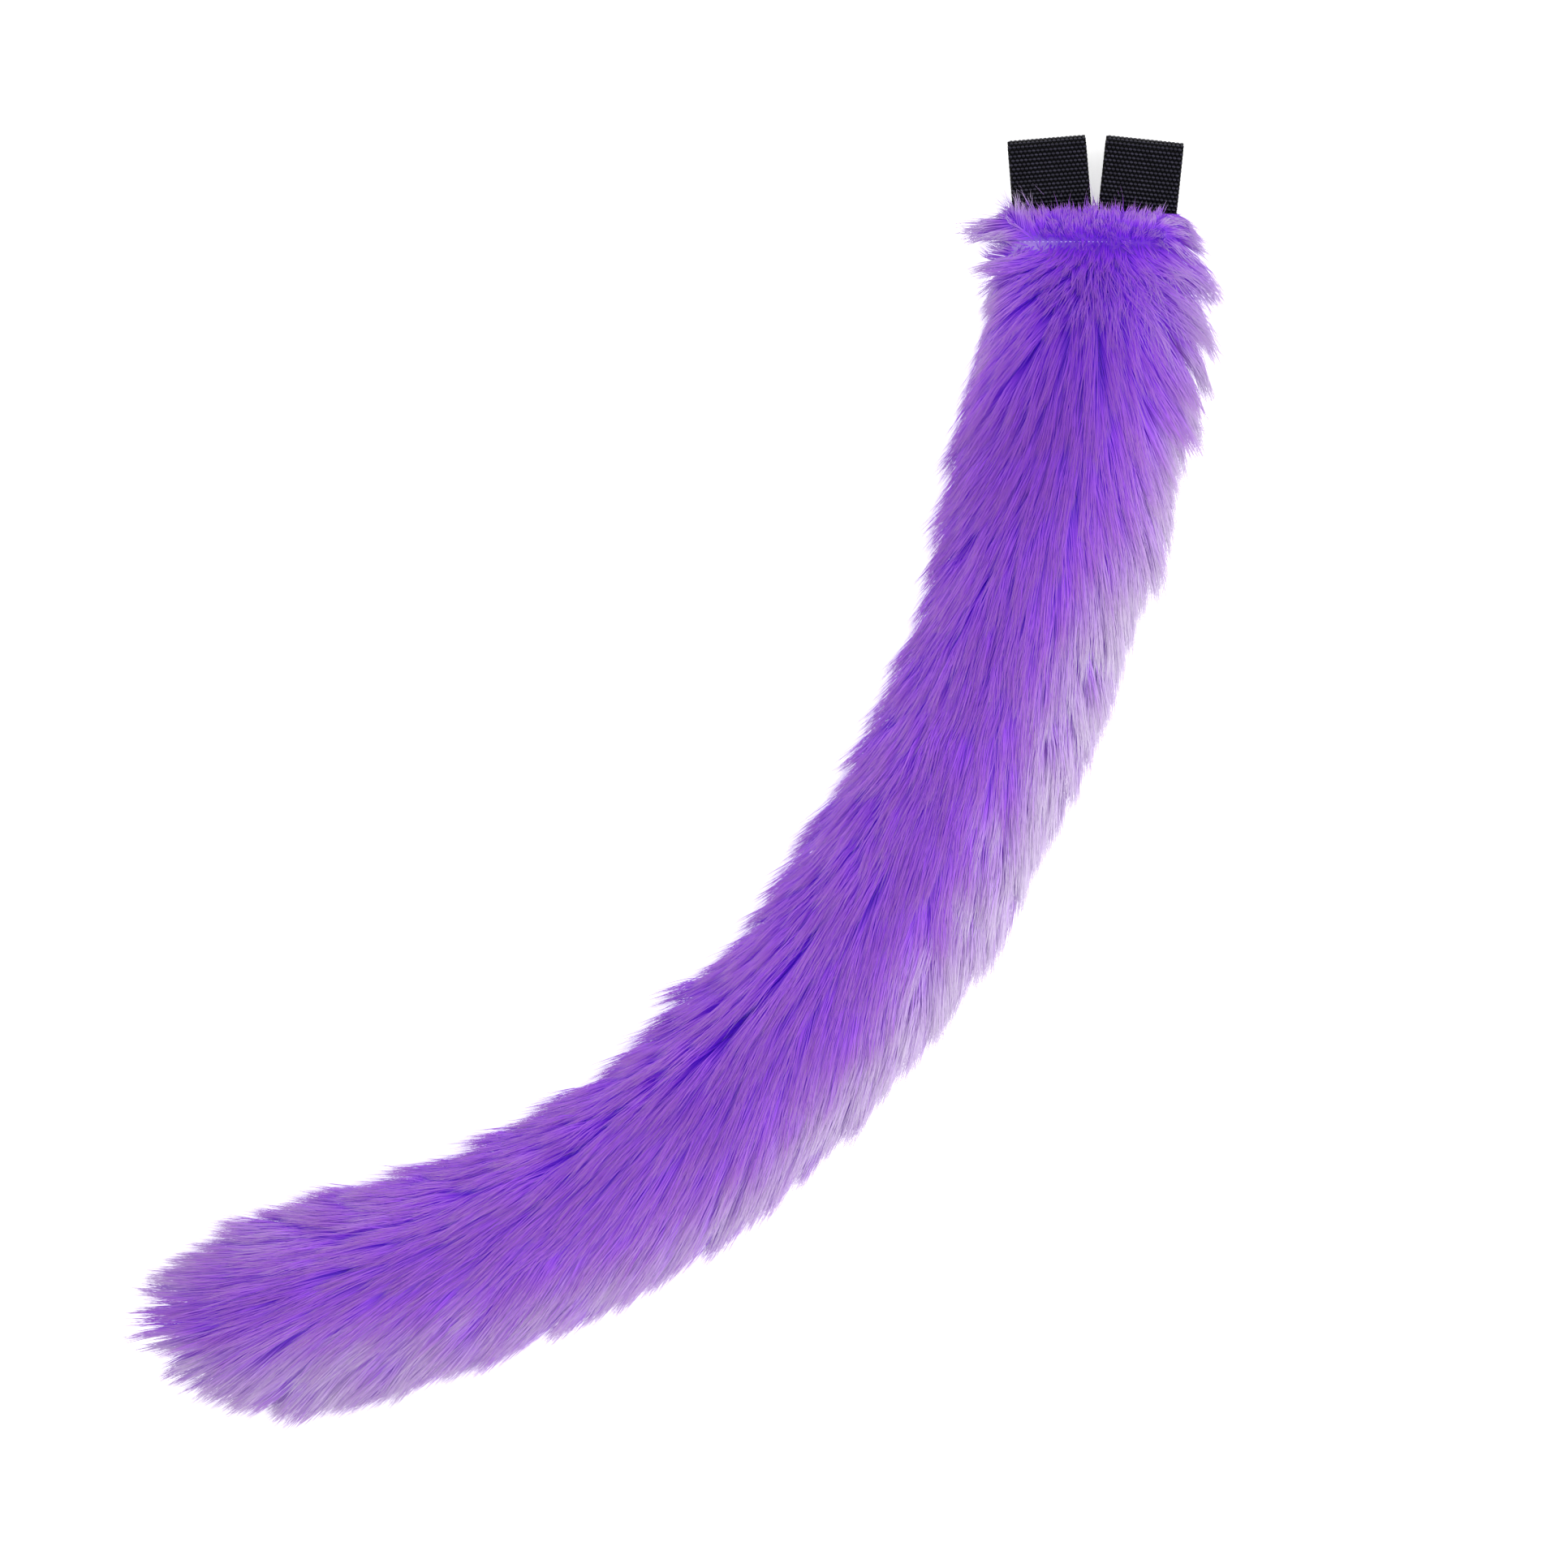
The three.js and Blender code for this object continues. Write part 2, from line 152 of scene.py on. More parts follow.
def station(distance):
    """The middle line's place, direction and left-hand side at distances from the hem's edge."""
    share = np.clip(np.asarray(distance) / CORE_LENGTH, 0, 1)
    marks = np.arange(BEND_STEPS + 1) / BEND_STEPS
    place = np.stack([np.interp(share, marks, line[:, 0]), np.interp(share, marks, line[:, 1])], -1)
    heading = np.radians(smooth(share, BEND_AT, BEND_HEADING))
    along = np.stack([-np.sin(heading), -np.cos(heading), 0 * heading], -1)
    side = np.stack([np.cos(heading), -np.sin(heading), 0 * heading], -1)
    return place, along, side


# %% [markdown]
# ## The underfur
# Faux fur is knitted as a backing with a dense short underfur and longer guard hairs. The underfur is what
# shows as deep colour between the locks. It is one closed skin, lofted through a table of cross sections,
# and the guard hairs are grown on it. The tail is stuffed, so its cloth is round and taut, and a loft holds
# the outline that was measured better than a cloth simulation would.

# %% The underfur's cross sections
HEM_SEAM = 9.4 * MM
HEM_MIDDLE = 6.5 * MM  # height of the webbing, between the two layers of the hem
TIP_ROUND = 44 * MM
TIP_RINGS = 12
SKIN_END = 514 * MM
SIDES = 40
# Rows: millimetres from the hem's edge, then half width, height of the middle, half height, squareness
SKIN_ROWS = np.array((
    (0.0, 27.6, 6.5, 4.4, 0.55),
    (4.0, 28.2, 6.5, 5.6, 0.6),
    (8.2, 28.0, 6.3, 4.4, 0.62),
    (9.8, 27.9, 6.2, 3.3, 0.62),
    (12.0, 28.0, 6.6, 4.6, 0.65),
    (20.0, 28.4, 10.5, 9.0, 0.8),
    (32.0, 27.6, 15.5, 14.4, 0.95),
    (44.0, 26.4, 17.6, 16.8, 1.0),
    (90.0, 25.4, 18.3, 17.6, 1.0),
    (150.0, 24.2, 17.8, 17.0, 1.0),
    (225.0, 25.0, 17.9, 17.2, 1.0),
    (290.0, 24.6, 18.2, 17.6, 1.0),
    (350.0, 24.6, 17.7, 17.0, 1.0),
    (430.0, 24.0, 17.6, 16.8, 1.0),
    (482.0, 23.4, 17.0, 16.2, 1.0),
    (514.0, 22.4, 16.0, 15.2, 1.0),
)) * (MM, MM, MM, MM, 1)
FLOOR_GAP = 0.6 * MM  # the flattened hair between the underfur and the floor
HEM_RINGS = (0.0, 2.0, 4.0, 6.2, 8.2, 9.0, 9.8, 10.8, 12.0, 14.0, 17.0, 20.0, 24.0, 28.0, 32.0, 38.0)
BODY_FROM, BODY_PITCH = 44 * MM, 5 * MM


def rising(values, start, span):
    """0 up to a start, then an even rise to 1 over a span."""
    return np.clip((values - start) / span, 0, 1)


quarter_turn = np.linspace(0, 1, TIP_RINGS + 1)[:-1] * math.pi / 2
distances = np.concatenate([
    np.array(HEM_RINGS) * MM,
    np.arange(BODY_FROM, SKIN_END - TIP_ROUND, BODY_PITCH),
    SKIN_END - TIP_ROUND * (1 - np.sin(quarter_turn)),
])
half, middle, rise, square = [smooth(distances, SKIN_ROWS[:, 0], SKIN_ROWS[:, k]) for k in (1, 2, 3, 4)]
shrink = np.sqrt(1 - rising(distances, SKIN_END - TIP_ROUND, TIP_ROUND) ** 2)
angles = np.arange(SIDES) / SIDES * 2 * math.pi
cosine, sine = np.cos(angles)[None, :], np.sin(angles)[None, :]
bow_x = np.sign(cosine) * np.abs(cosine) ** square[:, None]
bow_z = np.sign(sine) * np.abs(sine) ** square[:, None]
place, along, side = station(distances)
skin = np.zeros((len(distances), SIDES, 3))
skin[..., :2] = place[:, None] + side[:, None, :2] * ((half * shrink)[:, None] * bow_x)[..., None]
skin[..., 2] = middle[:, None] + (rise * shrink)[:, None] * bow_z
skin[..., 2] = np.maximum(skin[..., 2], FLOOR_GAP)
print("Underfur:", skin.shape[0], "rings of", SIDES, "points, height in mm", round(skin[..., 2].max() / MM, 1))

# %% [markdown]
# ## The comb of the fur
# The hairs lie along the tail at the crown, and turn outwards more and more towards the hem, where they
# fold over the closing seam. The fur above the seam stands up and points out, over the webbing. Two tables
# say this, one for the crown and one for the two sides, and every place in between takes a share of both.

# %% Tables of the comb
# Rows: millimetres from the hem's edge, how far the hairs point down the tail, how far they fan to both sides,
# how far they all lean to the outer curve, lift from the skin in degrees, and length in millimetres
CROWN_ROWS = np.array((
    (0.0, -1.0, 0.5, 0.0, 34, 1.8),
    (3.0, -0.95, 0.6, 0.0, 40, 3.8),
    (6.0, -0.9, 0.7, 0.0, 46, 6.4),
    (9.2, -0.8, 0.8, 0.0, 50, 8.6),
    (10.2, 0.9, 0.8, -0.1, 12, 13.0),
    (13.0, 0.9, 1.0, -0.12, 14, 22.0),
    (20.0, 0.92, 0.75, -0.08, 17, 28.0),
    (32.0, 0.95, 0.6, 0.04, 17, 30.0),
    (46.0, 0.98, 0.8, 0.1, 16, 31.0),
    (80.0, 1.0, 0.62, 0.1, 15, 31.0),
    (110.0, 1.0, 0.4, 0.14, 15, 31.0),
    (150.0, 1.0, 0.3, 0.18, 14, 31.0),
    (200.0, 1.0, 0.26, 0.28, 14, 31.0),
    (250.0, 1.0, 0.26, 0.36, 14, 31.0),
    (350.0, 1.0, 0.26, 0.38, 14, 31.0),
    (400.0, 1.0, 0.24, 0.3, 14, 31.0),
    (440.0, 1.0, 0.55, 0.28, 14, 30.0),
    (480.0, 1.0, 0.58, 0.26, 14, 30.0),
    (514.0, 1.0, 0.25, 0.08, 12, 27.0),
)) * (MM, 1, 1, 1, 1, MM)
# Rows: millimetres from the hem's edge, then for the left and the right side each: lift, length, and how far
# the hairs point down the tail
SIDE_ROWS = np.array((
    (0.0, 60, 50, 12.0, 12.0, 0.0, 0.5),
    (4.0, 84, 60, 30.0, 18.0, 0.0, 0.6),
    (8.0, 74, 62, 27.0, 24.0, 0.05, 0.7),
    (11.0, 60, 62, 7.0, 25.0, 0.2, 0.8),
    (14.0, 60, 60, 17.0, 24.0, 0.25, 0.9),
    (18.0, 60, 50, 24.0, 20.0, 0.35, 0.9),
    (24.0, 38, 50, 18.0, 28.0, 0.6, 0.95),
    (32.0, 44, 50, 23.0, 31.0, 0.8, 0.95),
    (45.0, 54, 46, 28.0, 31.0, 0.9, 1.0),
    (60.0, 62, 38, 28.0, 30.0, 1.0, 1.0),
    (90.0, 66, 42, 29.0, 33.0, 1.0, 1.0),
    (120.0, 54, 44, 27.0, 33.5, 1.0, 1.0),
    (150.0, 54, 44, 27.0, 33.5, 1.0, 1.0),
    (180.0, 58, 43, 27.5, 33.0, 1.0, 1.0),
    (225.0, 60, 41, 28.0, 32.0, 1.0, 1.0),
    (280.0, 60, 40, 28.0, 31.0, 1.0, 1.0),
    (306.0, 62, 39, 31.0, 31.0, 1.0, 1.0),
    (334.0, 50, 39, 25.0, 31.0, 1.0, 1.0),
    (360.0, 56, 40, 27.0, 31.0, 1.0, 1.0),
    (385.0, 54, 42, 26.5, 31.5, 1.0, 1.0),
    (410.0, 50, 39, 25.0, 31.0, 1.0, 1.0),
    (435.0, 58, 38, 28.0, 30.5, 1.0, 1.0),
    (470.0, 54, 36, 26.5, 29.0, 1.0, 1.0),
    (496.0, 32, 20, 26.0, 25.0, 1.0, 1.0),
    (514.0, 10, 6, 27.0, 22.0, 1.0, 1.0),
)) * (MM, 1, 1, MM, MM, 1, 1)
down, fan, lean, crown_lift, crown_long = [
    smooth(distances, CROWN_ROWS[:, 0], CROWN_ROWS[:, k])[:, None] for k in (1, 2, 3, 4, 5)]
left_lift, right_lift, left_long, right_long, left_down, right_down = [
    smooth(distances, SIDE_ROWS[:, 0], SIDE_ROWS[:, k])[:, None] for k in (1, 2, 3, 4, 5, 6)]
print("The crown's hairs are up to", round(crown_long.max() / MM, 1), "mm long")

# %% [markdown]
# How far a point counts as a side runs from 0 at the crown to 1 at the widest place. Near the hem, which is
# flat, only the very edge counts. Under the tail its weight presses the hairs flat.

# %% How the fur is combed
def near(centre, width):
    """A soft share: 1 at a distance from the hem's edge, falling off over a width, both in millimetres."""
    return np.exp(-(((distances - centre * MM) / (width * MM)) ** 2))[:, None]


HEM_FLATNESS = 8  # how much less of the round counts as a side near the hem
PRESSED_BELOW = 0.6  # how much of its lift a hair loses under the tail
sideness = np.abs(cosine) ** (2 + HEM_FLATNESS * near(0, 15))
lift = crown_lift + (np.where(cosine > 0, right_lift, left_lift) - crown_lift) * sideness
long = crown_long + (np.where(cosine > 0, right_long, left_long) - crown_long) * sideness
lift = np.radians(lift) * np.where(sine < 0, 1 + PRESSED_BELOW * sine, 1)

# The way out of the skin, from the skin's own slopes
around_step = np.roll(skin, -1, axis=1) - np.roll(skin, 1, axis=1)
down_step = np.gradient(skin, axis=0)
out = np.cross(around_step, down_step)
out /= np.maximum(np.linalg.norm(out, axis=-1, keepdims=True), 1e-12)

# The comb is a part that fans and leans, and a part that runs down the tail. Neither goes into the skin
fanned = side[:, None, :] * (fan * cosine + lean)[..., None]
fanned = fanned - out * np.sum(fanned * out, axis=-1, keepdims=True)
downwards = down + (np.where(cosine > 0, right_down, left_down) - down) * sideness**0.35
run = along[:, None, :] * downwards[..., None]
run = run - out * np.minimum(np.sum(run * out, axis=-1, keepdims=True), 0)
comb = run + fanned
print("Steepest hairs lift by", round(math.degrees(lift.max())), "degrees")

# %% [markdown]
# Next come shares for every point of the skin: how densely the hairs stand, where the seam shows, where the
# fur is parted left of it, where it stands in pointed tufts, and where it is matted. All of them follow the
# photograph at the hem, and are even further down.

# %% Density, tufts and matted places
UNDERSIDE, UNDERSIDE_COVER = -0.35, 0.34  # below this height of the round, fewer hairs are needed
SIDE_COVER, BRUSH_COVER = 0.3, 0.9  # more hairs at the sides, and in the brush above the seam
SEAM, PARTING, MATTED_PATCH = (9.8, 0.9), (12.0, 2.8), (21, 8)  # centre and width in millimetres
SEAM_BARE = 0.95  # share of the hairs that the seam lacks
PARTED_THIN, PARTED_SHORT = 0.2, 0.8  # shares of the cover and of the length that a parted place lacks
LEAST_COVER = 0.02
BRUSH_MATTED = 0.6
cover = np.where(sine < UNDERSIDE, UNDERSIDE_COVER, 1.0 + SIDE_COVER * sideness)
above_seam = rising(-distances, -9.2 * MM, 1.0 * MM)[:, None]
cover = cover * (1 + BRUSH_COVER * above_seam)
seam_gap = near(*SEAM) * np.clip(0.9 - cosine, 0.25, 1)  # widest on the left
cover = cover * (1 - SEAM_BARE * seam_gap)
parted = near(*PARTING) * np.clip((-cosine - 0.1) * 3, 0, 1) * (sine > 0)
cover = np.maximum(cover * (1 - PARTED_THIN * parted), LEAST_COVER)
long = long * (1 - PARTED_SHORT * parted)

TUFTS_RIGHT, TUFTS_LEFT = (32, 28), (12, 11)  # centre and width of the tufted stretch on each side
TUFTS_EVERYWHERE = 0.25
at_edge = rising(np.abs(cosine), 0.4, 0.3)
tufted = np.maximum(np.where(cosine > 0, near(*TUFTS_RIGHT), near(*TUFTS_LEFT)), TUFTS_EVERYWHERE) * at_edge
matted = near(*MATTED_PATCH) * np.exp(-(((cosine - 0.5) / 0.35) ** 2))  # right of the middle
matted = np.maximum(matted * (sine > 0), BRUSH_MATTED * above_seam * (1 - tufted))
print("Least and greatest cover:", round(float(cover.min()), 3), round(float(cover.max()), 2))

# %% [markdown]
# The outer curve of the bend shows the hairs' pale ends, most of all half way down, and the tip shows them
# on both sides. This paleness is painted light: it stands in for the low lamp on the right and the white
# surroundings lighting the fringe, and it is weaker under the tail, where less light falls. A last table gives
# how strong the painted light is there. Behind the shoulder the crown is at its deepest.

# %% Where the painted light pales the ends
PAINTED_LIGHT_AT = np.array((0, 20, 60, 110, 150, 215, 270, 330, 390, 450, 514)) * MM
PAINTED_LIGHT_RIGHT = (0.8, 0.9, 0.95, 1.0, 1.0, 1.0, 0.92, 0.78, 0.66, 0.74, 0.8)
PAINTED_LIGHT_LEFT = (0.9, 0.85, 0.24, 0.2, 0.2, 0.2, 0.2, 0.2, 0.24, 0.36, 0.7)
PAINTED_LIGHT_BRUSH, PAINTED_LIGHT_END = 0.45, 0.4  # least painted light above the seam and at the very tip
PAINTED_LIGHT_UNDER = 0.85  # share of its painted light that a hair keeps under the tail, where less light falls
TIP_WIDENING = 0.35  # the band of painted light is this much wider at the tip
DEEP_STRETCH = (58, 42)  # centre and width in millimetres
painted_light_right, painted_light_left = [smooth(distances, PAINTED_LIGHT_AT, row)[:, None] for row in (PAINTED_LIGHT_RIGHT, PAINTED_LIGHT_LEFT)]
widening = TIP_WIDENING * rising(distances, 380 * MM, 90 * MM)[:, None]
band_right = rising(cosine + 0.12 + widening, 0, 0.85) ** 1.2
band_left = rising(-cosine - 0.3 + 0.3 * widening, 0, 0.6)
# painted light: the lit outer fringe, and the inner fringe against the white surroundings, are made pale
pale = np.where(cosine > 0, painted_light_right * band_right, painted_light_left * band_left)
pale = pale * np.where(sine < -0.6, PAINTED_LIGHT_UNDER, 1)
pale = np.maximum(pale, PAINTED_LIGHT_BRUSH * above_seam)
pale = np.maximum(pale, PAINTED_LIGHT_END * rising(distances, 500 * MM, 16 * MM)[:, None])
deep = near(*DEEP_STRETCH) * rising(-np.abs(cosine), -0.95, 0.3)
print("Mean paleness of the skin:", round(float(pale.mean()), 2))

# %% [markdown]
# A mesh of rings needs its two ends closed: the hem with a small ring of triangles round a middle point,
# and the tip with its pole. The faces are wound so that they point outwards. The shares become mesh
# attributes, because those are what a tree of Geometry Nodes can read.

# %% The underfur mesh with its attributes
def ring_mesh(name, rings, pole):
    """A closed mesh through rings of points, with a middle point in the first ring and a pole at the end."""
    count, sides = rings.shape[:2]
    points = [*rings.reshape(-1, 3), rings[0].mean(axis=0), pole]
    start, end = count * sides, count * sides + 1
    faces = []
    for k in range(sides):
        after = (k + 1) % sides
        faces.append((start, after, k))
        for ring in range(count - 1):
            here, there = ring * sides, (ring + 1) * sides
            faces.append((here + k, here + after, there + after, there + k))
        faces.append((end, (count - 1) * sides + k, (count - 1) * sides + after))
    mesh = bpy.data.meshes.new(name)
    mesh.from_pydata([tuple(p) for p in points], [], faces)
    mesh.update()
    return mesh


def keep(mesh, name, values):
    """Stores a number or a vector for every point of a mesh."""
    values = np.asarray(values, np.float32)
    vector = values.ndim == 2
    attribute = mesh.attributes.new(name, "FLOAT_VECTOR" if vector else "FLOAT", "POINT")
    attribute.data.foreach_set("vector" if vector else "value", values.ravel())


end_place, end_along = station(SKIN_END)[:2]
pole = (end_place[0], end_place[1], SKIN_ROWS[-1, 2])
skin_mesh = ring_mesh("underfur", skin, pole)
SKIN_VALUES = {  # for the rings, for the middle of the hem's end and for the tip's pole
    "comb": (comb, -along[0] * 0.6, end_along),
    "out": (out, -along[0], end_along),
    "lift": (lift, 0.3, 0.2),
    "long": (long, 8 * MM, 31 * MM),
    "cover": (cover, 0.05, 1.0),
    "matted": (matted, 1.0, 0.0),
    "parted": (parted, 0.0, 0.0),
    "tufted": (tufted, 0.0, 0.0),
    "pale": (pale, 0.3, 0.5),
    "deep": (deep, 0.0, 0.0),
    "from_hem": (np.repeat(distances[:, None], SIDES, axis=1), 0.0, SKIN_END),
    "around": (np.repeat(angles[None, :], len(distances), axis=0), 0.0, 0.0),
}
for name, (rings, first, last) in SKIN_VALUES.items():
    flat_rings = rings.reshape(-1, 3) if rings.ndim == 3 else rings.reshape(-1)
    keep(skin_mesh, name, np.concatenate([flat_rings, [first], [last]]))
skin_mesh.polygons.foreach_set("use_smooth", [True] * len(skin_mesh.polygons))
underfur = bpy.data.objects.new("underfur", skin_mesh)
bpy.context.scene.collection.objects.link(underfur)
print("Underfur faces:", len(skin_mesh.polygons), "with", len(SKIN_VALUES), "attributes")

# %% [markdown]
# ## The fur's materials
# The fibre is solution-dyed modacrylic, spun smooth: a dielectric with an IOR near 1.5 and a soft gloss
# along each hair. A guard hair is deepest in colour at its root, where neighbours shade it, and pales
# towards its fine tip. The fibre lets light through, so in real fur the light goes on from hair to hair and
# takes their colour each time. That keeps the shadows a rich violet. Here it would need far more hairs and
# bounces, so each hair gives off a little of the square of its own colour instead.

# %% Guard hair material
FIBRE_IOR = 1.49
ROOT_VIOLET, MID_VIOLET, END_VIOLET, TIP_LILAC = "#7c2cd6", "#903ed6", "#965bbe", "#a283aa"
# painted light: the pale lilac of fringe hairs lit by the lamp and the white surroundings
PAINTED_LIT_MIDDLE, PAINTED_LIT_TIP = "#b29dc4", "#c3bec9"
DARK_LOCK, LIGHT_LOCK = (0.66, 0.3, 0.84), (1.12, 1.26, 1.04)  # what red, green and blue are multiplied by
PAINTED_GLOW = 0.3  # strength of a painted glow, standing in for the light that reaches a hair through its neighbours
COLOUR_MAP = "OFBake"


def new_material(name, constants):
    """A material by its name, with its tree, its shader, and constant values on the shader's own sockets."""
    material = bpy.data.materials.new(name)
    material.use_nodes = True
    shader = material.node_tree.nodes["Principled BSDF"]
    for socket, value in constants.items():
        shader.inputs[socket].default_value = value
    return material, material.node_tree, shader


def set_stops(ramp_node, *stops):
    """Gives a colour ramp its stops: a place and a hex code each, from the lowest to the highest."""
    ramp = ramp_node.color_ramp
    for element, (place, code) in zip(ramp.elements, (stops[0], stops[-1])):
        element.position, element.color = place, linear(code)
    for place, code in stops[1:-1]:
        ramp.elements.new(place).color = linear(code)


def fibre_material():
    """Dyed modacrylic guard hair: colour runs from root to tip, and from dark locks to pale ones, where the
    pale is painted light.
    """
    material, tree, shader = new_material("dyed_modacrylic_guard_hair", {
        "IOR": FIBRE_IOR, "Roughness": 0.45, "Emission Strength": PAINTED_GLOW})
    place = add(tree, "ShaderNodeSeparateXYZ", [add(tree, "ShaderNodeUVMap", uv_map=COLOUR_MAP)])
    up, across = place.outputs["X"], place.outputs["Y"]
    run, painted_lit_run = [add(tree, "ShaderNodeValToRGB", [up]) for _ in range(2)]
    set_stops(run, (0.0, ROOT_VIOLET), (0.38, MID_VIOLET), (0.8, END_VIOLET), (1.0, TIP_LILAC))
    set_stops(painted_lit_run, (0.0, MID_VIOLET), (0.25, END_VIOLET), (0.55, PAINTED_LIT_MIDDLE), (1.0, PAINTED_LIT_TIP))
    tone = add(tree, MAP, [across, (0.0,) * 3, (0.5,) * 3, DARK_LOCK, LIGHT_LOCK], data_type="FLOAT_VECTOR")
    toned = chain(tree, VECTOR_MATH, run, ("MULTIPLY", tone))
    # above a half, the map's tone mixes the painted lit colour over the dyed one
    share = add(tree, MAP, [across, 0.5, 1.0, 0.0, 1.0])
    coloured = add(tree, MIX, [share, toned, painted_lit_run], data_type="RGBA")
    tree.links.new(output(coloured), shader.inputs["Base Color"])
    # painted glow: the square of the hair's colour, given off as emission
    painted_glow = chain(tree, VECTOR_MATH, coloured, ("MULTIPLY", coloured))
    tree.links.new(output(painted_glow), shader.inputs["Emission Color"])
    return material


guard_hair = fibre_material()
print("Guard hair:", len(guard_hair.node_tree.nodes), "nodes")

# %% [markdown]
# The underfur is the same fibre, cut short, and reads as the deep violet between the locks. Its streaks are
# as long as the locks above it show of themselves, about 22 mm, and 1.6 mm wide. Where the fur is parted
# beside the seam, the pale backing shines through.

# %% Underfur material
STREAK_LENGTH, STREAK_WIDTH = 22 * MM, 1.6 * MM
SKIN_RADIUS = 24 * MM  # turns an angle round the tail into a width on the skin


def underfur_material():
    """Short dense underfur: deep violet, streaked along the tail as the locks above it lie."""
    material, tree, shader = new_material("dyed_modacrylic_underfur", {"IOR": FIBRE_IOR, "Roughness": 0.8})
    distance, turn, bare = [add(tree, "ShaderNodeAttribute", attribute_name=name).outputs["Fac"]
                            for name in ("from_hem", "around", "parted")]
    place = add(tree, "ShaderNodeCombineXYZ", [
        chain(tree, MATH, distance, ("MULTIPLY", 1 / STREAK_LENGTH)),
        chain(tree, MATH, turn, ("MULTIPLY", SKIN_RADIUS / STREAK_WIDTH)),
    ])
    streaks = add(tree, "ShaderNodeTexNoise", {"Vector": place, "Scale": 1.0, "Detail": 3.0}).outputs["Fac"]
    run = add(tree, "ShaderNodeValToRGB", [streaks])
    set_stops(run, (0.3, "#6a26ca"), (0.75, "#8640d0"))
    shown = add(tree, MIX, [bare, run, linear("#ae8ce0")], data_type="RGBA")
    tree.links.new(output(shown), shader.inputs["Base Color"])
    bump = add(tree, "ShaderNodeBump", {"Height": streaks, "Strength": 0.7, "Distance": 0.6 * MM})
    tree.links.new(bump.outputs["Normal"], shader.inputs["Normal"])
    return material


skin_mesh.materials.append(underfur_material())
print("Underfur material:", skin_mesh.materials[0].name)

# %% [markdown]
# ## The guard hairs
# A hair is a closed three-sided needle of 10 triangles, and Geometry Nodes grow it at tens of thousands of
# points. The real fibre is far finer than a tenth of a millimetre. It is drawn about 0.3 mm wide, so that
# as many hairs as Blender can carry still cover the skin. Hair doesn't lie evenly: it gathers into small
# locks, about 3 mm apart, and these into larger ones, about 11 mm apart. So the tree needs sizes, and
# chances for each size of lock and for the single hair.

# %% Inputs of the fur's tree
def tree_with(name, inputs):
    """An empty geometry tree with a mesh in and out, and named inputs with their defaults."""
    tree = bpy.data.node_groups.new(name, "GeometryNodeTree")
    tree.interface.new_socket("Geometry", in_out="INPUT", socket_type="NodeSocketGeometry")
    for label, (kind, value) in inputs.items():
        socket = tree.interface.new_socket(label, in_out="INPUT", socket_type=kind)
        if value is not None:
            socket.default_value = value
    tree.interface.new_socket("Geometry", in_out="OUTPUT", socket_type="NodeSocketGeometry")
    return tree, tree.nodes.new("NodeGroupInput").outputs, tree.nodes.new("NodeGroupOutput").inputs


fur, given, fur_result = tree_with("fur_pile", {
    "From": ("NodeSocketFloat", 0.0),
    "To": ("NodeSocketFloat", 1.0),
    "Hairs Per m2": ("NodeSocketFloat", 1.5e6),
    "Small Lock": ("NodeSocketFloat", 3.2 * MM),
    "Large Lock": ("NodeSocketFloat", 11 * MM),
    "Thickness": ("NodeSocketFloat", 0.29 * MM),
    "Gather": ("NodeSocketFloat", 0.5),
    "Stretch": ("NodeSocketFloat", 1.0),
    "Seed": ("NodeSocketInt", 4),
    "Material": ("NodeSocketMaterial", None),
})
CHANCES = {  # lowest, highest and seed
    "large_lift": (0.88, 1.12, 31),
    "large_long": (0.92, 1.08, 32),
    "large_turn": (-0.12, 0.12, 33),
    "large_tone": (0.0, 1.0, 34),
    "small_lift": (-0.1, 0.1, 41),
    "small_long": (0.94, 1.06, 42),
    "small_turn": (-0.09, 0.09, 43),
    "small_tone": (0.0, 1.0, 44),
    "hair_loose": (0.0, 1.0, 51),
    "hair_lift": (0.9, 1.12, 52),
    "hair_long": (0.82, 1.04, 53),
    "hair_wander": ((-1, -1, -1), (1, 1, 1), 54),
    "hair_tone": (0.0, 1.0, 55),
}
VECTORS = ("comb", "out", "form", "root", "to_small", "to_large", "hair_comb", "hair_out", "wander")
NUMBERS = ("lift", "long", "cover", "matted", "tufted", "pale", "deep", "from_hem",
           "hair_lift", "hair_long", "hold", "tone")
KINDS = {**dict.fromkeys(VECTORS, "FLOAT_VECTOR"), **dict.fromkeys(NUMBERS, "FLOAT")}
here = add(fur, "GeometryNodeInputPosition")
index = add(fur, "GeometryNodeInputIndex")
chance = {
    name: add(fur, "FunctionNodeRandomValue", {"Min": low, "Max": high, "ID": index, "Seed": seed},
              data_type="FLOAT_VECTOR" if isinstance(low, tuple) else "FLOAT")
    for name, (low, high, seed) in CHANCES.items()}
read = {name: add(fur, "GeometryNodeInputNamedAttribute", {"Name": name}, data_type=kind)
        for name, kind in KINDS.items()}
print("The fur's tree has", len(chance), "chances and reads", len(read), "attributes")

# %% [markdown]
# Two more sets of points are scattered: the middles of small and of large locks. Any point can look up its
# nearest lock and take over a value from there. A small lock takes its large one's lift, length, turn and
# tone, and adds a little of its own, except where the fur stands in tufts.

# %% The locks
DENSEST = 1e6  # the most points for each square metre that are tried
LOCK_SEEDS = {"Small Lock": 11, "Large Lock": 23}
small, large = [
    add(fur, "GeometryNodeDistributePointsOnFaces", {
        "Mesh": given["Geometry"], "Distance Min": given[size], "Density Max": DENSEST, "Seed": seed,
    }, distribute_method="POISSON").outputs["Points"] for size, seed in LOCK_SEEDS.items()]


def nearest(points, value, kind="FLOAT"):
    """A value of the nearest of some points."""
    which = add(fur, "GeometryNodeSampleNearest", [points, here], domain="POINT")
    return add(fur, "GeometryNodeSampleIndex", [points, value, which], data_type=kind, domain="POINT")


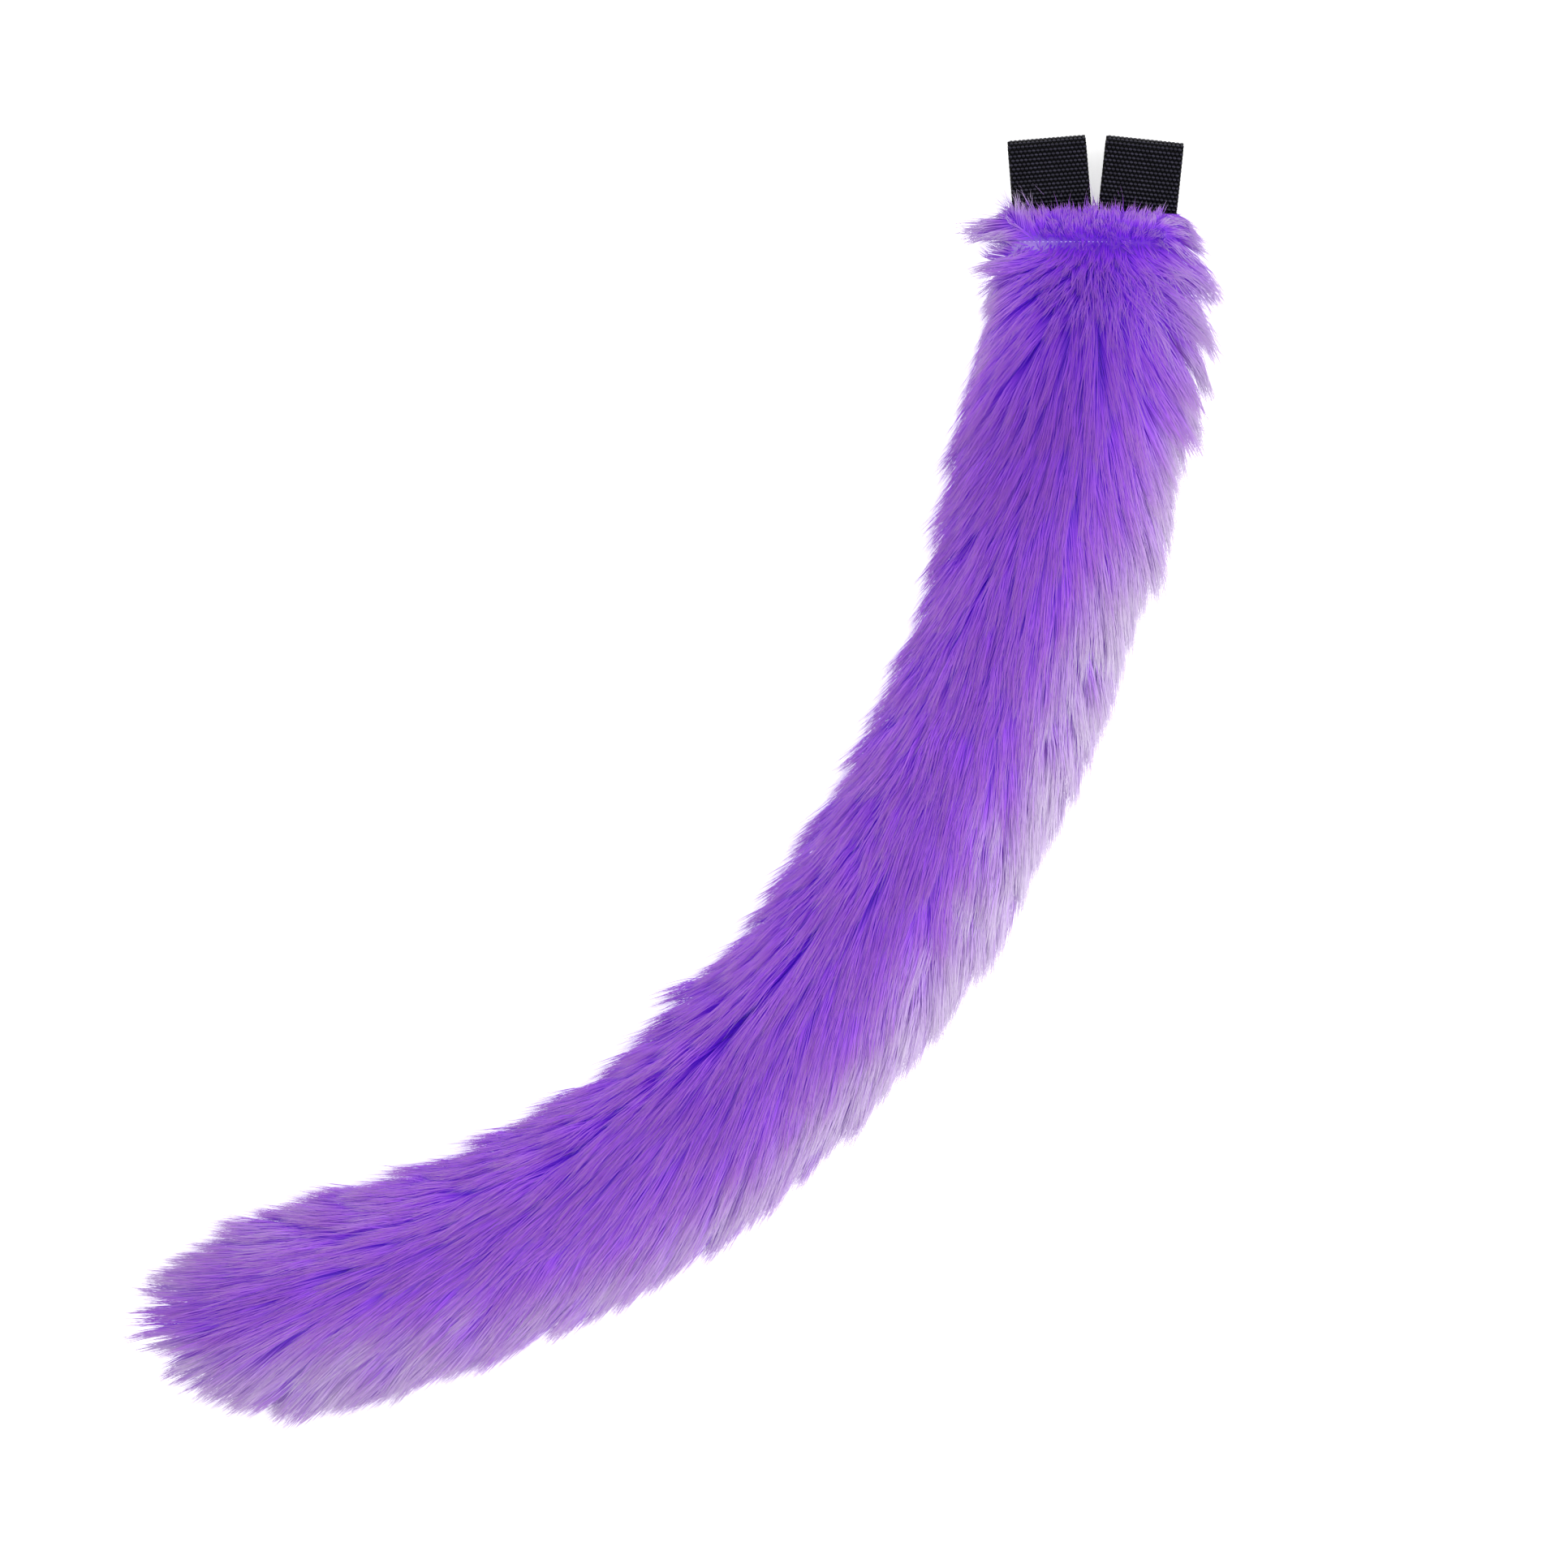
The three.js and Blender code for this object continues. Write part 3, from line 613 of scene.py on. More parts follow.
untufted = chain(fur, MATH, 1.0, ("SUBTRACT", read["tufted"]))
own_lift = chain(fur, MATH, chance["small_lift"], ("MULTIPLY", untufted), ("ADD", 1.0))
own_turn = chain(fur, MATH, chance["small_turn"], ("MULTIPLY", untufted))
lock_lift = chain(fur, MATH, nearest(large, chance["large_lift"]), ("MULTIPLY", own_lift))
lock_long = chain(fur, MATH, nearest(large, chance["large_long"]), ("MULTIPLY", chance["small_long"]))
lock_turn = chain(fur, MATH, nearest(large, chance["large_turn"]), ("ADD", own_turn))
lock_tone = add(fur, MIX, [0.5, nearest(large, chance["large_tone"]), chance["small_tone"]], data_type="FLOAT")
lock_to_large = chain(fur, VECTOR_MATH, nearest(large, here, "FLOAT_VECTOR"), ("SUBTRACT", here))
print("Nodes so far:", len(fur.nodes))

# %% [markdown]
# The roots of the hairs are scattered by chance, as densely as the skin's cover says, and only one stretch
# of the tail is kept. Each hair then gets a firmness: a few strays hardly keep to their lock, matted hair
# keeps to it less than combed hair, and a tuft holds its hairs tightly. A hair in the middle of its lock is
# longer than one at its rim, which gives the lock its point.

# %% The roots, and how a hair belongs to its lock
roots = add(fur, "GeometryNodeDistributePointsOnFaces", {
    "Mesh": given["Geometry"],
    "Density": chain(fur, MATH, given["Hairs Per m2"], ("MULTIPLY", read["cover"])),
    "Seed": given["Seed"],
}, distribute_method="RANDOM")
off_ends = [
    add(fur, "FunctionNodeCompare", [read["from_hem"], given[end]], data_type="FLOAT", operation=operation)
    for end, operation in (("From", "LESS_THAN"), ("To", "GREATER_EQUAL"))]
outside = add(fur, "FunctionNodeBooleanMath", off_ends, operation="OR")
points = add(fur, "GeometryNodeDeleteGeometry", [roots.outputs["Points"], outside], domain="POINT")

KEEPERS, STRAYS = 0.94, 0.95  # a hair is a stray above the second share, and keeps to its lock below the first
LEAST_FIRM, STRAY_FIRM, MATTED_FIRM = 0.62, 0.2, 0.25
TUFT_KEEPERS, TUFT_FIRM, TUFT_STRAY_FIRM = 0.9, 0.97, 0.5
loose = chance["hair_loose"]
stray = add(fur, MAP, [loose, KEEPERS, STRAYS, 1.0, STRAY_FIRM])
combed = add(fur, MAP, [read["matted"], 0.0, 1.0, 1.0, MATTED_FIRM])
loosely = chain(fur, MATH, add(fur, MAP, [loose, 0.0, KEEPERS, 1.0, LEAST_FIRM]),
                ("MULTIPLY", stray), ("MULTIPLY", combed), ("MULTIPLY", given["Gather"]))
tightly = add(fur, MAP, [loose, TUFT_KEEPERS, STRAYS, TUFT_FIRM, TUFT_STRAY_FIRM])
hold = add(fur, MIX, [read["tufted"], loosely, tightly], data_type="FLOAT")

LOCK_POINT, TUFT_POINT = (-0.4, 1.07), (-0.9, 1.22)  # length lost towards the rim, and length in the middle
way, point = {}, []
for size, middles, (loss, longest) in (("Small Lock", small, LOCK_POINT), ("Large Lock", large, TUFT_POINT)):
    way[size] = chain(fur, VECTOR_MATH, nearest(middles, here, "FLOAT_VECTOR"), ("SUBTRACT", here))
    off = chain(fur, MATH, chain(fur, VECTOR_MATH, way[size], ("LENGTH", None)), ("DIVIDE", given[size]))
    point.append(chain(fur, MATH, off, ("MULTIPLY", off), ("MULTIPLY", loss), ("ADD", longest)))
pointed = add(fur, MIX, [read["tufted"], *point], data_type="FLOAT")
print("Nodes so far:", len(fur.nodes))

# %% [markdown]
# A lock's hairs share one comb, lift and length, which is what makes it a lock. Its tone lies between dark
# and light, darker where the crown is deep, and it is painted pale where the skin's painted light says so.
# All that a hair has to know is stored on its root.

# %% What each hair carries
OWN_TONE = 0.42  # how much of its tone a hair has for itself
DEEPENED = -0.85  # how much of its tone a lock loses at the deepest place
DARK_LOCK_LIT, LIGHT_LOCK_LIT = 0.7, 1.25  # a dark lock takes less of the painted light than the skin says, and a light one more


def shared(name):
    """A skin value as the hair's small lock has it, or its large lock where the fur stands in tufts."""
    own, kind = read[name], KINDS[name]
    locks = nearest(small, own, kind), nearest(large, own, kind)
    return add(fur, MIX, [read["tufted"], *locks], data_type="VECTOR" if name in VECTORS else "FLOAT")


combing, outwards = shared("comb"), shared("out")
turning = chain(fur, VECTOR_MATH, outwards, ("CROSS_PRODUCT", combing), ("SCALE", nearest(small, lock_turn)))
lifting = chain(fur, MATH, shared("lift"), ("MULTIPLY", nearest(small, lock_lift)),
                ("MULTIPLY", chance["hair_lift"]))
length = chain(fur, MATH, read["long"], ("MULTIPLY", nearest(small, lock_long)), ("MULTIPLY", pointed),
               ("MULTIPLY", chance["hair_long"]), ("MULTIPLY", given["Stretch"]))
undeepened = chain(fur, MATH, read["deep"], ("MULTIPLY", DEEPENED), ("ADD", 1.0))
plain_tone = add(fur, MIX, [OWN_TONE, nearest(small, lock_tone), chance["hair_tone"]], data_type="FLOAT")
plain_tone = chain(fur, MATH, plain_tone, ("MULTIPLY", undeepened))
painted_light_scale = add(fur, MAP, [plain_tone, 0.1, 0.9, DARK_LOCK_LIT, LIGHT_LOCK_LIT])
painted_lit_share = chain(fur, MATH, read["pale"], ("MULTIPLY", painted_light_scale), ("MINIMUM", 1.0))
# the tone runs from the lock's own half up to 1 as the painted light takes over
tone = add(fur, MIX, [painted_lit_share, chain(fur, MATH, plain_tone, ("MULTIPLY", 0.5)), 1.0], data_type="FLOAT")
stored = {
    "root": here,
    "to_small": way["Small Lock"],
    "to_large": nearest(small, lock_to_large, "FLOAT_VECTOR"),
    "hair_comb": chain(fur, VECTOR_MATH, combing, ("ADD", turning)),
    "hair_out": outwards,
    "hair_lift": lifting,
    "hair_long": length,
    "hold": hold,
    "wander": chance["hair_wander"],
    "tone": tone,
}
for name, value in stored.items():
    points = add(fur, "GeometryNodeStoreNamedAttribute", {"Geometry": points, "Name": name, "Value": value},
                 data_type=KINDS[name], domain="POINT")
print("A root stores", len(stored), "values")

# %% [markdown]
# One needle, one unit high, remembers its own form and is copied to every root. Then each copy's points are
# moved: first to the line that the hair follows, which leaves the skin at its lift, bends over, wanders a
# little and is drawn towards the middles of its locks.

# %% The line of a hair
BEND_OVER = 0.42  # share of its rise that a hair loses by bending over
FORWARD_SHARE = 0.7  # a hair leans away from its way forward by this share of its lift
SLEEK, FRIZZED = 0.06, 0.32  # how far a combed and a matted hair wander, as shares of their length
SMALL_EASE, LARGE_EASE = 1.1, 1.5  # powers that keep the pull of the locks near the tip
OUTSIDE_TUFTS = 0.45  # how much a large lock pulls where the fur isn't tufted
needle = add(fur, "GeometryNodeMeshCone", {
    "Vertices": 3, "Side Segments": 2, "Fill Segments": 1,
    "Radius Top": 0.0, "Radius Bottom": 1.0, "Depth": 1.0,
})
needle = add(fur, "GeometryNodeSetShadeSmooth", {"Geometry": needle.outputs["Mesh"], "Shade Smooth": False})
needle = add(fur, "GeometryNodeStoreNamedAttribute", {"Geometry": needle, "Name": "form", "Value": here},
             data_type="FLOAT_VECTOR", domain="POINT")
copies = add(fur, "GeometryNodeInstanceOnPoints", {"Points": points, "Instance": needle})
hairs = add(fur, "GeometryNodeRealizeInstances", [copies])

form = add(fur, "ShaderNodeSeparateXYZ", [read["form"]]).outputs
up = form["Z"]
leaning = chain(fur, MATH, read["hair_lift"], ("MULTIPLY", FORWARD_SHARE), ("COSINE", None))
standing = chain(fur, MATH, read["hair_lift"], ("SINE", None))
eased = chain(fur, MATH, up, ("MULTIPLY", up), ("MULTIPLY", -BEND_OVER), ("ADD", up))
ahead = chain(fur, MATH, up, ("MULTIPLY", leaning))
risen = chain(fur, MATH, standing, ("MULTIPLY", eased))
onward = chain(fur, VECTOR_MATH, read["hair_comb"], ("SCALE", ahead))
upward = chain(fur, VECTOR_MATH, read["hair_out"], ("SCALE", risen))
frizz = add(fur, MAP, [read["matted"], 0.0, 1.0, SLEEK, FRIZZED])
swerve = chain(fur, MATH, up, ("POWER", 2.0), ("MULTIPLY", frizz))
swerve = chain(fur, VECTOR_MATH, read["wander"], ("SCALE", swerve))
free = chain(fur, VECTOR_MATH, onward, ("ADD", upward), ("ADD", swerve), ("SCALE", read["hair_long"]))
reach = add(fur, MAP, [read["tufted"], 0.0, 1.0, OUTSIDE_TUFTS, 1.0])
pull_small = chain(fur, MATH, up, ("POWER", SMALL_EASE), ("MULTIPLY", read["hold"]))
pull_large = chain(fur, MATH, up, ("POWER", LARGE_EASE), ("MULTIPLY", reach), ("MULTIPLY", read["hold"]))
to_large = chain(fur, VECTOR_MATH, read["to_large"], ("SCALE", pull_large))
pulled = chain(fur, VECTOR_MATH, read["to_small"], ("SCALE", pull_small), ("ADD", to_large))
hair_line = chain(fur, VECTOR_MATH, read["root"], ("ADD", free), ("ADD", pulled))
print("Nodes so far:", len(fur.nodes))

# %% [markdown]
# Then the needle gets its thickness, fuller than a cone's. It is wide and flat, with one flat side turned
# out and up, so that it covers well and takes the light as a fibre does. Hair never goes through the floor:
# what would is laid on it.

# %% The thickness of a hair
WIDER, FLATTER = 1.35, -0.4  # shares of the thickness. The minus turns the flat side outwards
UPWARDS = (0.0, 0.0, 0.8)
FLOOR_LEVEL, FLOOR_EASE = 0.2 * MM, 0.8 * MM
# Half the thickness, divided by the root of what is left of the hair, so that it thins only near its tip
fuller = chain(fur, MATH, 1.0, ("SUBTRACT", up), ("MAXIMUM", 0.02), ("POWER", -0.5),
               ("MULTIPLY", given["Thickness"]), ("MULTIPLY", 0.5))
raised = chain(fur, MATH, standing, ("MULTIPLY", 1 - BEND_OVER))
raised = chain(fur, VECTOR_MATH, read["hair_out"], ("SCALE", raised))
direction = chain(fur, VECTOR_MATH, read["hair_comb"], ("SCALE", leaning), ("ADD", raised))
facing = chain(fur, VECTOR_MATH, read["hair_out"], ("ADD", UPWARDS))
sideways = chain(fur, VECTOR_MATH, facing, ("CROSS_PRODUCT", direction), ("NORMALIZE", None))
flat_way = chain(fur, VECTOR_MATH, direction, ("CROSS_PRODUCT", sideways), ("NORMALIZE", None))
width = chain(fur, MATH, form["Y"], ("MULTIPLY", fuller), ("MULTIPLY", WIDER))
depth = chain(fur, MATH, form["X"], ("MULTIPLY", fuller), ("MULTIPLY", FLATTER))
deepened = chain(fur, VECTOR_MATH, flat_way, ("SCALE", depth))
body = chain(fur, VECTOR_MATH, sideways, ("SCALE", width), ("ADD", deepened))
apart = add(fur, "ShaderNodeSeparateXYZ", [chain(fur, VECTOR_MATH, hair_line, ("ADD", body))]).outputs
above = add(fur, MATH, [apart["Z"], FLOOR_LEVEL, FLOOR_EASE], operation="SMOOTH_MAX")
kept = add(fur, "ShaderNodeCombineXYZ", [apart["X"], apart["Y"], above])
moved = add(fur, "GeometryNodeSetPosition", {"Geometry": hairs, "Position": kept})
print("Nodes so far:", len(fur.nodes))

# %% [markdown]
# Last comes the colour map: along the hair one way, and its tone the other, with a sliver of width for each
# side. Both stay just inside the map's edges. The values that only the tree needed are taken off again.

# %% The colour map and the end of the tree
def finish(tree, result, geometry, spare, material):
    """Takes spare attributes off, sets the material and ends the tree."""
    for name in spare:
        geometry = add(tree, "GeometryNodeRemoveAttribute", {"Geometry": geometry, "Name": name})
    done = add(tree, "GeometryNodeSetMaterial", {"Geometry": geometry, "Material": material})
    tree.links.new(output(done), result[0])


sliver = chain(fur, MATH, form["X"], ("MULTIPLY", 0.006))
charted_tone = chain(fur, MATH, read["tone"], ("MULTIPLY", 0.96), ("ADD", 0.02), ("ADD", sliver))
charted_up = chain(fur, MATH, up, ("MULTIPLY", 0.98), ("ADD", 0.01))
chart = add(fur, "ShaderNodeCombineXYZ", [charted_up, charted_tone])
mapped = add(fur, "GeometryNodeStoreNamedAttribute", {"Geometry": moved, "Name": COLOUR_MAP, "Value": chart},
             data_type="FLOAT2", domain="CORNER")
finish(fur, fur_result, mapped, (*stored, "form", *SKIN_VALUES), given["Material"])
print("The fur's tree has", len(fur.nodes), "nodes")

# %% [markdown]
# The tree is run five times, once for each stretch of the tail, so that no piece gets too heavy. The
# shoulder's hairs are gathered most. A sixth run adds a few fine, long strays, which stand up over the
# webbing.

# %% Grow the fur in five stretches
def grown(name, host, tree, values):
    """The mesh that a tree makes of an object, as a plain object of its own."""
    modifier = host.modifiers.new(name, "NODES")
    modifier.node_group = tree
    for item in tree.interface.items_tree:
        if item.in_out == "INPUT" and item.name in values:
            modifier[item.identifier] = values[item.name]
    host.update_tag()
    evaluated = host.evaluated_get(bpy.context.evaluated_depsgraph_get())
    mesh = bpy.data.meshes.new_from_object(evaluated)
    host.modifiers.remove(modifier)
    mesh.name = name
    piece = bpy.data.objects.new(name, mesh)
    bpy.context.scene.collection.objects.link(piece)
    mesh.calc_loop_triangles()
    print(name, "has", len(mesh.loop_triangles), "triangles")
    return piece


# Rows: from and to in millimetres from the hem's edge, hairs for each square metre, how much they gather
STRETCHES = {
    "pile_shoulder": (0, 92, 1.5e6, 0.5),
    "pile_upper": (92, 202, 1.46e6, 0.4),
    "pile_middle": (202, 312, 1.46e6, 0.4),
    "pile_lower": (312, 420, 1.46e6, 0.4),
    "pile_tip": (420, 520, 1.7e6, 0.36),
}
piles = [
    grown(name, underfur, fur, {
        "From": start * MM, "To": end * MM, "Hairs Per m2": density, "Gather": gather, "Material": guard_hair,
    }) for name, (start, end, density, gather) in STRETCHES.items()]
piles.append(grown("hem_strays", underfur, fur, {
    "From": 0.0, "To": 4 * MM, "Hairs Per m2": 1.8e5, "Thickness": 0.11 * MM, "Gather": 0.05, "Stretch": 2.1,
    "Seed": 9, "Material": guard_hair,
}))

# %% [markdown]
# ## Each piece rides on the CAD body
# The part has no joints, so there is one body. The fur's pieces together stand for the CAD sleeve.

# %% Tie the fur to the frame
for piece in (underfur, *piles):
    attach(piece, "root")
    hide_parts("fur_sleeve")
print(len(piles) + 1, "pieces stand for the sleeve")

# %% [markdown]
# ## The belt loops
# Each loop is a strip of one-inch webbing, folded over and sewn into the hem. Webbing is a plain weave of
# stout warp yarns round hidden wefts. A warp yarn floats over one weft and dives under the next, and its
# neighbour does the opposite, which gives the rows of small bricks in the photograph. So the yarns
# themselves are built: a middle line with the fold, one copy for each yarn, a wave on each copy, and a
# swept, flattened yarn on it.

# %% The folded middle line of a loop
WEBBING_WIDTH = 25.4 * MM
WEBBING_THICKNESS = 1.5 * MM
BELT_GAP = 5.6 * MM
LAYER_GAP = 0.4 * MM
LOOP_FLARE = 7 * MM
FLARE_EASE = 0.4
FLARE_PARTS = 24
FOLD_PARTS = 48
TAIL_IN_HEM = 7 * MM  # how much of each end is made inside the hem


def folded_line():
    """The loop's middle line seen from its side: run up from the hem's edge, height over the hem's middle."""
    held, open_half = (LAYER_GAP + WEBBING_THICKNESS) / 2, (BELT_GAP + WEBBING_THICKNESS) / 2
    t = np.linspace(0, 1, FLARE_PARTS + 1)
    bend_in, bend_out = LOOP_FLARE * FLARE_EASE, LOOP_FLARE * (1 - FLARE_EASE)
    flare_run = 3 * (1 - t) ** 2 * t * bend_in + 3 * (1 - t) * t**2 * bend_out + t**3 * LOOP_FLARE
    flare_rise = held + (open_half - held) * (3 * t**2 - 2 * t**3)
    fold_start = LOOP_REACH - open_half - WEBBING_THICKNESS / 2
    turn = np.linspace(math.pi / 2, -math.pi / 2, FOLD_PARTS + 1)
    upper = np.stack([np.concatenate([[-TAIL_IN_HEM], flare_run]), np.concatenate([[held], flare_rise])], -1)
    fold = np.stack([fold_start + open_half * np.cos(turn), open_half * np.sin(turn)], -1)
    return np.concatenate([upper, fold, upper[::-1] * (1, -1)])


def evenly(points, spacing):
    """Points at even steps along a line of points, and how far along each is."""
    steps = np.concatenate([[0], np.cumsum(np.linalg.norm(np.diff(points, axis=0), axis=1))])
    at = np.linspace(0, steps[-1], int(round(steps[-1] / spacing)) + 1)
    return np.stack([np.interp(at, steps, points[:, k]) for k in range(points.shape[1])], -1), at


print("A strip's middle line in mm:", round(evenly(folded_line(), MM)[1][-1] / MM, 1))

# %% [markdown]
# The flat line is then set into its place, leaning as its loop does. A weft crosses it every 1.41 mm, which
# is the spacing of the bricks in the photograph. Each point keeps the way out of the cloth, the way across
# it, and its phase, counted in wefts.

# %% The line in its place
LOOP_SPACING = 0.4 * MM
PICK = 1.41 * MM  # from one weft to the next
POINTS_PER_PICK = 3
WARPS = 36
UP_Z = np.array((0, 0, 1))


def loop_path(name, hand, lean):
    """The middle line of one loop in its place, with the way out of the cloth and the way across it."""
    flat, run = evenly(folded_line(), PICK / POINTS_PER_PICK)
    slope = np.gradient(flat, axis=0)
    slope /= np.linalg.norm(slope, axis=1, keepdims=True)
    turn = math.radians(lean)
    across = np.array((math.cos(turn), math.sin(turn), 0))
    up = np.array((-math.sin(turn), math.cos(turn), 0))
    pivot = np.array((HEM.x + hand * LOOP_SPACING / 2, HEM.y - LOOP_INSERT, HEM_MIDDLE))
    points = pivot + across * hand * WEBBING_WIDTH / 2 + up * (flat[:, :1] + LOOP_INSERT) + UP_Z * flat[:, 1:]
    mesh = bpy.data.meshes.new(name)
    mesh.from_pydata([tuple(p) for p in points], [(k, k + 1) for k in range(len(points) - 1)], [])
    phase = np.arange(len(points)) / POINTS_PER_PICK
    keep(mesh, "outward", up * -slope[:, 1:] + UP_Z * slope[:, :1])
    keep(mesh, "across", np.tile(across, (len(points), 1)))
    keep(mesh, "phase", phase)
    keep(mesh, "is_pick", phase % 1 == 0)
    host = bpy.data.objects.new(name, mesh)
    bpy.context.scene.collection.objects.link(host)
    return host, run[-1]


print("Wefts are", round(PICK / MM, 2), "mm apart, under", WARPS, "warps")


# %% [markdown]
# The weave's wave is a cosine with one full turn for two wefts. A yarn is widest where it floats on top,
# and it is pressed flat. The wefts are plain rods across the strip: they only show along the edges.

# %% The tree that weaves
weave, given, weave_result = tree_with("plain_weave", {
    "Warps": ("NodeSocketInt", WARPS),
    "Width": ("NodeSocketFloat", WEBBING_WIDTH),
    "Wave": ("NodeSocketFloat", 0.38 * MM),
    "Yarn Half Width": ("NodeSocketFloat", 0.66 * MM),
    "Yarn Flatness": ("NodeSocketFloat", 0.42),
    "Weft Radius": ("NodeSocketFloat", 0.32 * MM),
    "Seed": ("NodeSocketInt", 3),
    "Material": ("NodeSocketMaterial", None),
})
LOOP_KINDS = {"across": "FLOAT_VECTOR", "outward": "FLOAT_VECTOR", "middle": "FLOAT_VECTOR",
              "yarn": "FLOAT", "phase": "FLOAT", "float": "FLOAT", "is_pick": "FLOAT"}
read = {name: add(weave, "GeometryNodeInputNamedAttribute", {"Name": name}, data_type=kind)
        for name, kind in LOOP_KINDS.items()}
here = add(weave, "GeometryNodeInputPosition")
spline = add(weave, "GeometryNodeMeshToCurve", [given["Geometry"]])
copies = add(weave, "GeometryNodeDuplicateElements", {"Geometry": spline, "Amount": given["Warps"]},
             domain="SPLINE").outputs
yarns = add(weave, "GeometryNodeStoreNamedAttribute", {
    "Geometry": copies["Geometry"], "Name": "yarn", "Value": copies["Duplicate Index"],
}, data_type="FLOAT", domain="CURVE")
sideways = chain(weave, MATH, read["yarn"], ("ADD", 0.5), ("DIVIDE", given["Warps"]), ("SUBTRACT", 0.5),
                 ("MULTIPLY", given["Width"]))
wave = chain(weave, MATH, read["phase"], ("ADD", read["yarn"]), ("MULTIPLY", math.pi), ("COSINE", None))
raised = chain(weave, MATH, wave, ("MULTIPLY", given["Wave"]))
raised = chain(weave, VECTOR_MATH, read["outward"], ("SCALE", raised))
waved = chain(weave, VECTOR_MATH, read["across"], ("SCALE", sideways), ("ADD", raised))
laid = add(weave, "GeometryNodeSetPosition", {"Geometry": yarns, "Offset": waved})
floating = chain(weave, MATH, wave, ("ABSOLUTE", None))
for name, value in (("middle", here), ("float", chain(weave, MATH, floating, ("MULTIPLY", wave)))):
    laid = add(weave, "GeometryNodeStoreNamedAttribute", {"Geometry": laid, "Name": name, "Value": value},
               data_type=LOOP_KINDS[name], domain="POINT")
swell = add(weave, MAP, [floating, 0.0, 1.0, 0.72, 1.0])
profile = add(weave, "GeometryNodeCurvePrimitiveCircle", {"Resolution": 5, "Radius": 1.0})
swept = add(weave, "GeometryNodeCurveToMesh", {
    "Curve": laid, "Profile Curve": profile, "Fill Caps": True,
    "Scale": chain(weave, MATH, swell, ("MULTIPLY", given["Yarn Half Width"])),
})
height = chain(weave, VECTOR_MATH, here, ("SUBTRACT", read["middle"]), ("DOT_PRODUCT", read["outward"]))
flatter = chain(weave, MATH, given["Yarn Flatness"], ("SUBTRACT", 1.0))
pressed = chain(weave, MATH, height, ("MULTIPLY", flatter))
pressed = chain(weave, VECTOR_MATH, read["outward"], ("SCALE", pressed))
flat_yarns = add(weave, "GeometryNodeSetPosition", {"Geometry": swept, "Offset": pressed})
print("Nodes for the yarns:", len(weave.nodes))

# %% [markdown]
# The colour map says how far a yarn floats up one way, which places a painted highlight on each crest, and
# a lot for each float the other, because no two floats of real webbing shine quite alike.

# %% The wefts and the end of the weave's tree
WEFT_OVERHANG = 0.1 * MM
picks = add(weave, "GeometryNodeMeshToPoints", {"Mesh": given["Geometry"], "Selection": read["is_pick"]})
rod = add(weave, "GeometryNodeMeshCylinder", {
    "Vertices": 5, "Radius": given["Weft Radius"],
    "Depth": chain(weave, MATH, given["Width"], ("ADD", WEFT_OVERHANG)),
}, fill_type="NGON")
aim = add(weave, "FunctionNodeAlignRotationToVector", {"Vector": read["across"]}, axis="Z")
wefts = add(weave, "GeometryNodeInstanceOnPoints", {"Points": picks, "Instance": rod, "Rotation": aim})
joined = weave.nodes.new("GeometryNodeJoinGeometry")
weave.links.new(output(add(weave, "GeometryNodeRealizeInstances", [wefts])), joined.inputs[0])
weave.links.new(output(flat_yarns), joined.inputs[0])

LOTS_APART = 97.0  # keeps the numbers of one yarn's floats away from the next yarn's
weft_number = chain(weave, MATH, read["phase"], ("ROUND", None))
float_number = chain(weave, MATH, read["yarn"], ("MULTIPLY", LOTS_APART), ("ADD", weft_number))
lot = add(weave, "FunctionNodeRandomValue", {
    "Min": 0.1, "Max": 0.9, "ID": float_number, "Seed": given["Seed"]}, data_type="FLOAT")
painted_highlight_place = chain(weave, MATH, read["float"], ("MULTIPLY", 0.45), ("ADD", 0.5))
chart = add(weave, "ShaderNodeCombineXYZ", [painted_highlight_place, lot])
mapped = add(weave, "GeometryNodeStoreNamedAttribute", {
    "Geometry": joined, "Name": COLOUR_MAP, "Value": chart}, data_type="FLOAT2", domain="CORNER")
soft = add(weave, "GeometryNodeSetShadeSmooth", [mapped])
finish(weave, weave_result, soft, LOOP_KINDS, given["Material"])
print("The weave's tree has", len(weave.nodes), "nodes")

# %% [markdown]
# Polypropylene webbing is extruded, solution-dyed black yarn. It has a waxy gloss, so each float catches a
# small grey highlight. The colour is near black, and the crest of each float is painted grey as a highlight.

# %% Webbing material and the two loops
def webbing_material():
    """Black polypropylene yarn, with its waxy gloss and a painted highlight on each float's crest."""
    material, tree, shader = new_material("woven_polypropylene_webbing", {
        "IOR": 1.49, "Roughness": 0.32, "Specular IOR Level": 0.08})
    place = add(tree, "ShaderNodeSeparateXYZ", [add(tree, "ShaderNodeUVMap", uv_map=COLOUR_MAP)])
    run = add(tree, "ShaderNodeValToRGB", [place.outputs["X"]])
    # painted highlight: the crest of each float is painted grey
    set_stops(run, (0.76, "#020205"), (0.93, "#3a3846"))
    lot = add(tree, MAP, [place.outputs["Y"], 0.0, 1.0, 0.7, 1.3])
    tree.links.new(output(chain(tree, VECTOR_MATH, run, ("SCALE", lot))), shader.inputs["Base Color"])
    return material


LOOP_HANDS = {"belt_loop_left": -1, "belt_loop_right": 1}
black_yarn = webbing_material()
for name, hand in LOOP_HANDS.items():
    host, run_length = loop_path("path_" + name, hand, LOOP_LEANS[name])
    loop = grown("webbing_" + name, host, weave, {"Material": black_yarn})
    bpy.data.objects.remove(host)
    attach(loop, "root")
    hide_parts(name)
    print(name, "runs", round(run_length / MM, 1), "mm with", round(run_length / PICK), "wefts")

# %% [markdown]
# ## The closing thread
# The hem is closed by a row of stitches in a pale thread, half buried in the fur. What shows in the
# photograph is a line of small whitish specks, strongest on the left. They lie on the top of the underfur
# along the seam, so their heights come from its cross section there.

